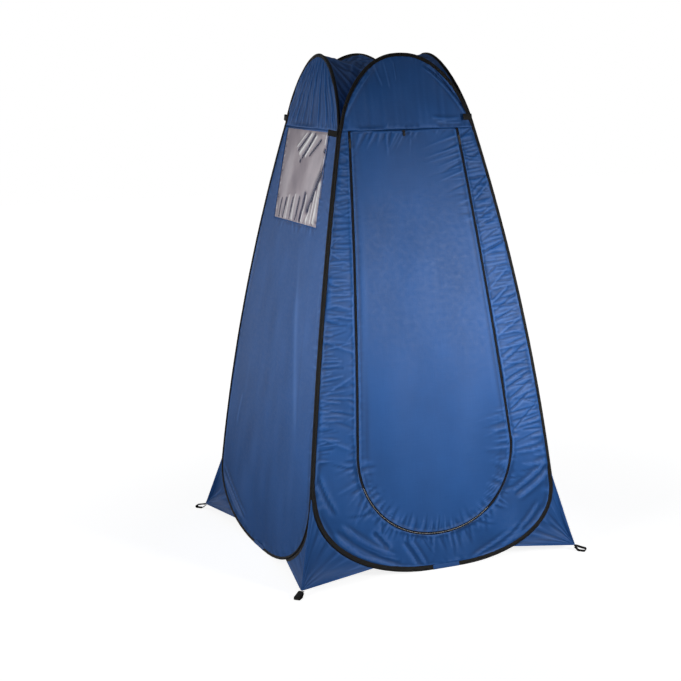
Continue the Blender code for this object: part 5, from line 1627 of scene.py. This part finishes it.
def make_gusset(corner, seed):
    """Creased cloth from the tip to both hoops. It bends at the corner, or is split there at the open one."""
    first, second = CORNERS[corner]["halves"]
    sign = CORNERS[corner]["sign"]
    count = 40
    depth = 44
    tip = np.array((sign[0], sign[1], 0.0)) * (GUSSET_TIP_REACH - 0.0006)
    tip[2] = GUSSET_TIP_HEIGHT
    rims = {side: gusset_rim(corner, side, count) for side in (first, second)}
    joint = LOWER_JOINT[corner]
    top = np.array((sign[0], sign[1], 0.0)) * float(reach(joint))
    top[2] = joint
    halves = []
    for number, side in enumerate((first, second)):
        rim = np.concatenate((top[None], rims[side]))
        t = np.linspace(0, 1, depth)[:, None, None] ** 0.9
        tip_row = tip + (rim - tip) * 0.012
        grid = rim[None] + (tip_row - rim)[None] * t
        normal = np.array((*SIDES[side]["out"], 0.0))
        a = np.linspace(0, 1, rim.shape[0])[None, :]
        b = 1 - t[:, :, 0]
        bow = np.sin(math.pi * np.clip(a, 0, 1)) * np.sin(math.pi * b)
        radial = gathers(np.broadcast_to(a, bow.shape) * 0.3, np.broadcast_to(1 - b, bow.shape) * 0.3, 0.3, 0.032,
                         0.005, 0.20, 0.0015, seed + number, spread=0.04)
        fan = gathers(np.broadcast_to(a, bow.shape) * 0.3, np.broadcast_to(b, bow.shape) * 0.3, 0.3, 0.045,
                      0.008, 0.28, 0.0034, seed + 5 + number, spread=0.08)
        edge = np.exp(-(((1 - a) / 0.035) ** 2)) * smooth_step(b / 0.1)
        pinch = np.exp(-((a / 0.03) ** 2)) * smooth_step(b / 0.1) * smooth_step((1 - b) / 0.1)
        lift = -0.010 * bow + (radial + fan) * np.minimum(a / 0.12, 1) * smooth_step(b / 0.15) + 0.0010 * edge
        lift = lift - 0.0016 * pinch
        grid = grid + normal * lift[..., None]
        halves.append((side, grid, lift))
    pieces = []
    if corner == "back_left":
        for side, grid, lift in halves:
            pieces.append((f"{corner}_gusset_{side}", [(side, grid, lift)], side))
    else:
        pieces.append((f"{corner}_gusset", halves, None))
    for name, parts, body in pieces:
        grids = [parts[0][1]]
        lifts = [parts[0][2]]
        if len(parts) == 2:
            grids = [parts[0][1][:, ::-1], parts[1][1][:, 1:]]
            lifts = [parts[0][2][:, ::-1], parts[1][2][:, 1:]]
        grid = np.concatenate(grids, 1)
        lift = np.concatenate(lifts, 1)
        rows, columns = grid.shape[:2]
        along = np.broadcast_to(np.linspace(0, 0.5, columns)[None], lift.shape)
        cut = np.stack((along, grid[..., 2], 0 * along), -1)
        faces = grid_faces(rows, columns)
        middle = grid.reshape(-1, 3).mean(0)
        a, b, c, _ = (grid.reshape(-1, 3)[i] for i in faces[len(faces) // 2])
        if np.dot(np.cross(b - a, c - a), middle * np.array((1, 1, 0))) < 0:
            faces = faces[:, ::-1]
        obj = add_mesh(name, grid, faces, cloth_blue, cut, crest_of(lift), CLOTH_THICK)
        if corner == "front_left":
            # Binding on the rim rows, and painted shade above the shade height: black cloth laid where the fold is
            # shaded.
            obj.data.materials.append(binding)
            row, column = np.divmod(np.arange((rows - 1) * (columns - 1)), columns - 1)
            high = grid[row, column, 2] > GUSSET_SHADE_HEIGHT
            binding_and_painted_shade = ((row < GUSSET_BOUND_ROWS) | high) & (column >= count)
            obj.data.polygons.foreach_set("material_index", binding_and_painted_shade.astype(np.int32))
        nodes = [f"{corner}_gusset_{side}_half" for side, _, _ in parts]
        dress(obj, body, nodes, grid, grid)
        if body is None:
            way = place(second, 0.0, 1.0, 0.0) - place(first, 0.0, 1.0, 0.0)
            way = way / np.linalg.norm(way) * 0.004
            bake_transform(obj)
        hem_rows(name, parts)


def hem_rows(name, parts):
    """Stitches along the gusset's free lower edges."""
    for side, grid, _ in parts:
        line = grid[:, -1] + (grid[:, -2] - grid[:, -1]) * 0.4
        s = np.concatenate(([0.0], np.cumsum(np.linalg.norm(np.diff(line, axis=0), axis=1))))
        at = np.arange(0.006, s[-1] - 0.006, 0.0048)
        centres = np.stack([np.interp(at, s, line[:, k]) for k in range(3)], 1)
        along = np.gradient(centres, axis=0)
        along /= np.linalg.norm(along, axis=1, keepdims=True)
        normal = np.array((*SIDES[side]["out"], 0.0))
        across = np.cross(normal, along)
        across /= np.linalg.norm(across, axis=1, keepdims=True)
        out = np.cross(along, across)
        stitches(f"{name}_hem_{side}", centres + out * 0.0003, along, across, out, blue_thread, side, slot="cloth")


# Roof

ROOF_BOUND_ROWS = {"front": 1, "right": 1, "back": 4, "left": 1}
ROOF_BOUND_STEP = 0.015


def make_roof():
    """Four gores of roof cloth, each sewn to its own hoop, which meet along the valleys to the corners."""
    inner = SLEEVE_RADIUS + TOUCH_GAP + 0.0012
    peak = np.array((0.0, 0.0, HEIGHT - ROOF_MIDDLE_DROP))
    corner_reach = float(reach(UPPER_JOINT)) - ROOF_CORNER_SETBACK
    for number, side in enumerate(SIDES):
        n = UPPER_ROUNDNESS[side]
        turn = np.linspace(0, QUARTER, 60)
        rim_u, rim_z = [], []
        for sign, turns in ((-1, turn[:-1]), (1, turn[::-1])):
            rise = np.sin(turns) ** (2 / n)
            wide = np.clip(np.cos(turns), 0, 1) ** (2 / n)
            z = UPPER_JOINT + (HEIGHT - SLEEVE_RADIUS - UPPER_JOINT) * rise
            rim_u.append(sign * (reach(z) - SEAM_SET) * wide + TOP_SWAY[side] * rise)
            rim_z.append(z)
        u = np.concatenate(rim_u)
        z = np.concatenate(rim_z)
        u, z = resample(u, z, 0.0055)
        limit = reach(z) - inner
        u = np.clip(u, -limit, limit)
        rim = place(side, u, limit, z)
        rim[0] = place(side, -corner_reach, corner_reach, UPPER_JOINT)
        rim[-1] = place(side, corner_reach, corner_reach, UPPER_JOINT)
        b = np.concatenate((np.arange(5) * ROOF_BOUND_STEP,
                            np.linspace(4 * ROOF_BOUND_STEP, 1, 47)[1:]))[:, None, None]
        grid = rim[None] + (peak - rim)[None] * b * 0.998
        grid[..., 2] -= ROOF_SAG * 4 * (b * (1 - b))[..., 0]
        lift = roof_folds(grid, b[..., 0])
        grid[..., 2] += lift
        rows, columns = grid.shape[:2]
        cut = np.stack((grid[..., 0], grid[..., 1], grid[..., 2]), -1)
        faces = grid_faces(rows, columns)
        a, c, d, _ = (grid.reshape(-1, 3)[i] for i in faces[len(faces) // 2])
        if np.cross(c - a, d - a)[2] < 0:
            faces = faces[:, ::-1]
        obj = add_mesh(f"roof_{side}_gore", grid, faces, cloth_roof, cut, crest_of(lift), CLOTH_THICK)
        obj.data.materials.append(binding)
        bound_rows = np.arange(rows - 1) < ROOF_BOUND_ROWS[side]
        obj.data.polygons.foreach_set("material_index", np.repeat(bound_rows, columns - 1).astype(np.int32))
        if side == "front":
            dress(obj, side, ["roof"], grid, grid)
        else:
            dress(obj, side, [], grid, grid)
        level = (UPPER_JOINT + HEIGHT) / 2
        tuple(side_normal(side, level))
        tuple(on_side(side, 0.0, level, -0.0035))
        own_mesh(obj)


def roof_folds(grid, b):
    """Tension folds that cross each valley from one hoop to the next, close to the corner."""
    lift = np.zeros(grid.shape[:2])
    rng = np.random.default_rng(131)
    for sign_x in (-1, 1):
        for sign_y in (-1, 1):
            toward = (grid[..., 0] * sign_x + grid[..., 1] * sign_y) / math.sqrt(2)
            aside = (grid[..., 0] * sign_y - grid[..., 1] * sign_x) / math.sqrt(2)
            for k in range(9):
                at = 0.05 + 0.034 * k + rng.uniform(-0.008, 0.008)
                bend = rng.uniform(-0.35, 0.35)
                wide = rng.uniform(0.007, 0.013)
                deep = rng.uniform(0.003, 0.008) * (1 if k % 2 else -1)
                x = (toward - at - bend * aside) / wide
                near = np.exp(-((aside / 0.16) ** 2)) * (toward > 0)
                lift += deep * np.exp(-np.abs(x) ** 1.5) * near
    lift += waves(grid[..., 0], grid[..., 1], 0.11, 132) * 0.0012
    return lift * smooth_step(b / 0.10)


# Seam strips at the joined corners

def make_corner_strips():
    """A narrow strip of binding that joins two neighbouring hoops along each sewn corner."""
    for corner in ("front_left", "front_right", "back_right"):
        first, second = CORNERS[corner]["halves"]
        sign = CORNERS[corner]["sign"]
        z = np.linspace(LOWER_JOINT[corner] - 0.012, UPPER_JOINT + 0.012, 220)
        rng = np.random.default_rng(len(corner))
        wobble = sum(np.sin(2 * math.pi * z / wave + rng.uniform(0, 6)) for wave in (0.037, 0.061)) / 2
        rows = []
        for share in np.linspace(0, 1, 9):
            near = reach(z) - SEAM_SET * (1 - 0.35 * math.sin(math.pi * share)) + 0.0006 * wobble * math.sin(math.pi * share)
            line_first = place(first, (1 if SIDES[first]["plus"] == corner else -1) * (reach(z) - SEAM_SET),
                               reach(z), z)
            line_second = place(second, (1 if SIDES[second]["plus"] == corner else -1) * (reach(z) - SEAM_SET),
                                reach(z), z)
            bulge = np.stack((sign[0] * near * 0 + sign[0], sign[1] * near * 0 + sign[1], 0 * z), -1) / math.sqrt(2)
            out = (0.0016 * math.sin(math.pi * share) + 0.0004 * wobble * math.sin(math.pi * share))[:, None]
            rows.append(line_first + (line_second - line_first) * share + bulge * out)
        grid = np.stack(rows, 1)
        cut = np.stack((np.broadcast_to(z[:, None], grid.shape[:2]),
                        np.broadcast_to(np.linspace(0, 0.009, 9)[None], grid.shape[:2]), 0 * grid[..., 0]), -1)
        faces = grid_faces(*grid.shape[:2])
        a, b, c, _ = (grid.reshape(-1, 3)[i] for i in faces[0])
        if np.dot(np.cross(b - a, c - a), np.array((*sign, 0.0))) < 0:
            faces = faces[:, ::-1]
        obj = add_mesh(f"{corner}_seam_strip", grid, faces, binding, cut, np.zeros(grid.shape[:2]), 0.0008)
        way = place(second, 0.0, 1.0, 0.0) - place(first, 0.0, 1.0, 0.0)
        way = way / np.linalg.norm(way) * 0.004
        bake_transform(obj)


# Stage

def make_floor():
    mesh = bpy.data.meshes.new("floor")
    size = 14.0
    mesh.from_pydata([(-size, -size, 0), (size, -size, 0), (size, size, 0), (-size, size, 0)], [], [(0, 1, 2, 3)])
    floor = bpy.data.objects.new("floor", mesh)
    bpy.context.scene.collection.objects.link(floor)
    floor.location.z = -0.0005
    material, shader = new_material("pale_floor", (0.55, 0.55, 0.55), 0.9)
    n = Nodes(material)
    emit = n.add("ShaderNodeEmission")
    emit.inputs["Color"].default_value = (1, 1, 1, 1)
    spot = n.add("ShaderNodeTexCoord").outputs["Object"]
    length = n.add("ShaderNodeVectorMath", operation="LENGTH")
    n.link(spot, length.inputs[0])
    glow = n.add("ShaderNodeMapRange")
    n.link(length.outputs["Value"], glow.inputs[0])
    for socket, value in zip(glow.inputs[1:5], (0.9, 2.4, 0.86, 1.0)):
        socket.default_value = value
    n.link(glow.outputs[0], emit.inputs["Strength"])
    path = n.add("ShaderNodeLightPath")
    black = n.add("ShaderNodeEmission")
    black.inputs["Strength"].default_value = 0.0
    seen = n.add("ShaderNodeMixShader")
    n.link(path.outputs["Is Camera Ray"], seen.inputs[0])
    n.link(black.outputs[0], seen.inputs[1])
    n.link(emit.outputs[0], seen.inputs[2])
    total = n.add("ShaderNodeAddShader")
    n.link(shader.outputs[0], total.inputs[0])
    n.link(seen.outputs[0], total.inputs[1])
    n.link(total.outputs[0], material.node_tree.nodes["Material Output"].inputs["Surface"])
    mesh.materials.append(material)


def make_world():
    world = bpy.data.worlds.new("studio")
    bpy.context.scene.world = world
    world.use_nodes = True
    tree = world.node_tree
    tree.nodes.clear()
    path = tree.nodes.new("ShaderNodeLightPath")
    seen = tree.nodes.new("ShaderNodeBackground")
    seen.inputs["Color"].default_value = (1, 1, 1, 1)
    seen.inputs["Strength"].default_value = 1.0
    light = tree.nodes.new("ShaderNodeBackground")
    light.inputs["Color"].default_value = (0.94, 0.97, 1.0, 1)
    light.inputs["Strength"].default_value = AMBIENT
    either = tree.nodes.new("ShaderNodeMath")
    either.operation = "MAXIMUM"
    tree.links.new(path.outputs["Is Camera Ray"], either.inputs[0])
    tree.links.new(path.outputs["Is Transmission Ray"], either.inputs[1])
    mix = tree.nodes.new("ShaderNodeMixShader")
    tree.links.new(either.outputs[0], mix.inputs[0])
    tree.links.new(light.outputs[0], mix.inputs[1])
    tree.links.new(seen.outputs[0], mix.inputs[2])
    output = tree.nodes.new("ShaderNodeOutputWorld")
    tree.links.new(mix.outputs[0], output.inputs[0])


def area_light(name, location, target, size, power, spread=180.0, colour=(1, 1, 1)):
    lamp = bpy.data.lights.new(name, "AREA")
    lamp.shape = "RECTANGLE"
    lamp.spread = math.radians(spread)
    lamp.size, lamp.size_y = size
    lamp.energy = power
    lamp.color = colour
    obj = bpy.data.objects.new(name, lamp)
    bpy.context.scene.collection.objects.link(obj)
    obj.location = location
    obj.rotation_euler = (Vector(target) - Vector(location)).to_track_quat("-Z", "Y").to_euler()
    return obj


AMBIENT = 0.09
CAMERA_AZIMUTH = math.radians(-24.007)
CAMERA_ELEVATION = math.radians(9.466)
CAMERA_ROLL = math.radians(-0.566)
CAMERA_DISTANCE = 5.728
CAMERA_AIM = (0.0, 0.0, 0.95)
CAMERA_LENS = 76.71
CAMERA_SHIFT = (-0.0568, -0.0640)


def make_camera():
    data = bpy.data.cameras.new("camera")
    camera = bpy.data.objects.new("camera", data)
    bpy.context.scene.collection.objects.link(camera)
    back = Vector((math.sin(CAMERA_AZIMUTH) * math.cos(CAMERA_ELEVATION),
                   -math.cos(CAMERA_AZIMUTH) * math.cos(CAMERA_ELEVATION), math.sin(CAMERA_ELEVATION)))
    camera.location = Vector(CAMERA_AIM) + back * CAMERA_DISTANCE
    upright = (-back).to_track_quat("-Z", "Y")
    camera.rotation_euler = (upright @ Quaternion((0, 0, 1), CAMERA_ROLL)).to_euler()
    data.lens = CAMERA_LENS
    data.sensor_width = 36.0
    data.shift_x, data.shift_y = CAMERA_SHIFT
    bpy.context.scene.camera = camera


def make_lights():
    area_light("key", (1.5, -3.1, 1.6), (0.22, -0.4, 0.75), (0.8, 0.8), 6.0, 46)
    area_light("left", (-3.0, 3.1, 1.2), (-0.4, 0.0, 0.9), (2.4, 2.4), 9.0, 90)
    area_light("fill", (-2.6, -1.3, 1.2), (-0.4, -0.3, 0.95), (1.2, 1.2), 5.2, 60)
    area_light("top", (0.2, 0.2, 4.4), (0.0, 0.0, 0.9), (2.0, 2.0), 1.6, 90)


make_camera()
make_world()
make_floor()
make_lights()
make_hoops()
make_left_panel()
make_side_panel("right", 78, 0.009, 101)
make_side_panel("back", 78, 0.009, 111)
for number, (panel_side, panel_columns) in enumerate((("front", 150), ("left", 130), ("right", 80), ("back", 80))):
    make_top_panel(panel_side, panel_columns, 200 + 20 * number)
make_window()
make_surround()
make_door()
make_zip()
for slider_sign, slider_word in ((-1, "left"), (1, "right")):
    make_slider(slider_sign, slider_word)
    make_pull(slider_sign, slider_word)
make_toggle()
for number, tent_corner in enumerate(CORNERS):
    make_gusset(tent_corner, 300 + 10 * number)
    make_stake_loop(tent_corner)
    make_guy_loop(tent_corner)
make_corner_strips()
make_roof()

bpy.context.scene.view_settings.view_transform = "Standard"
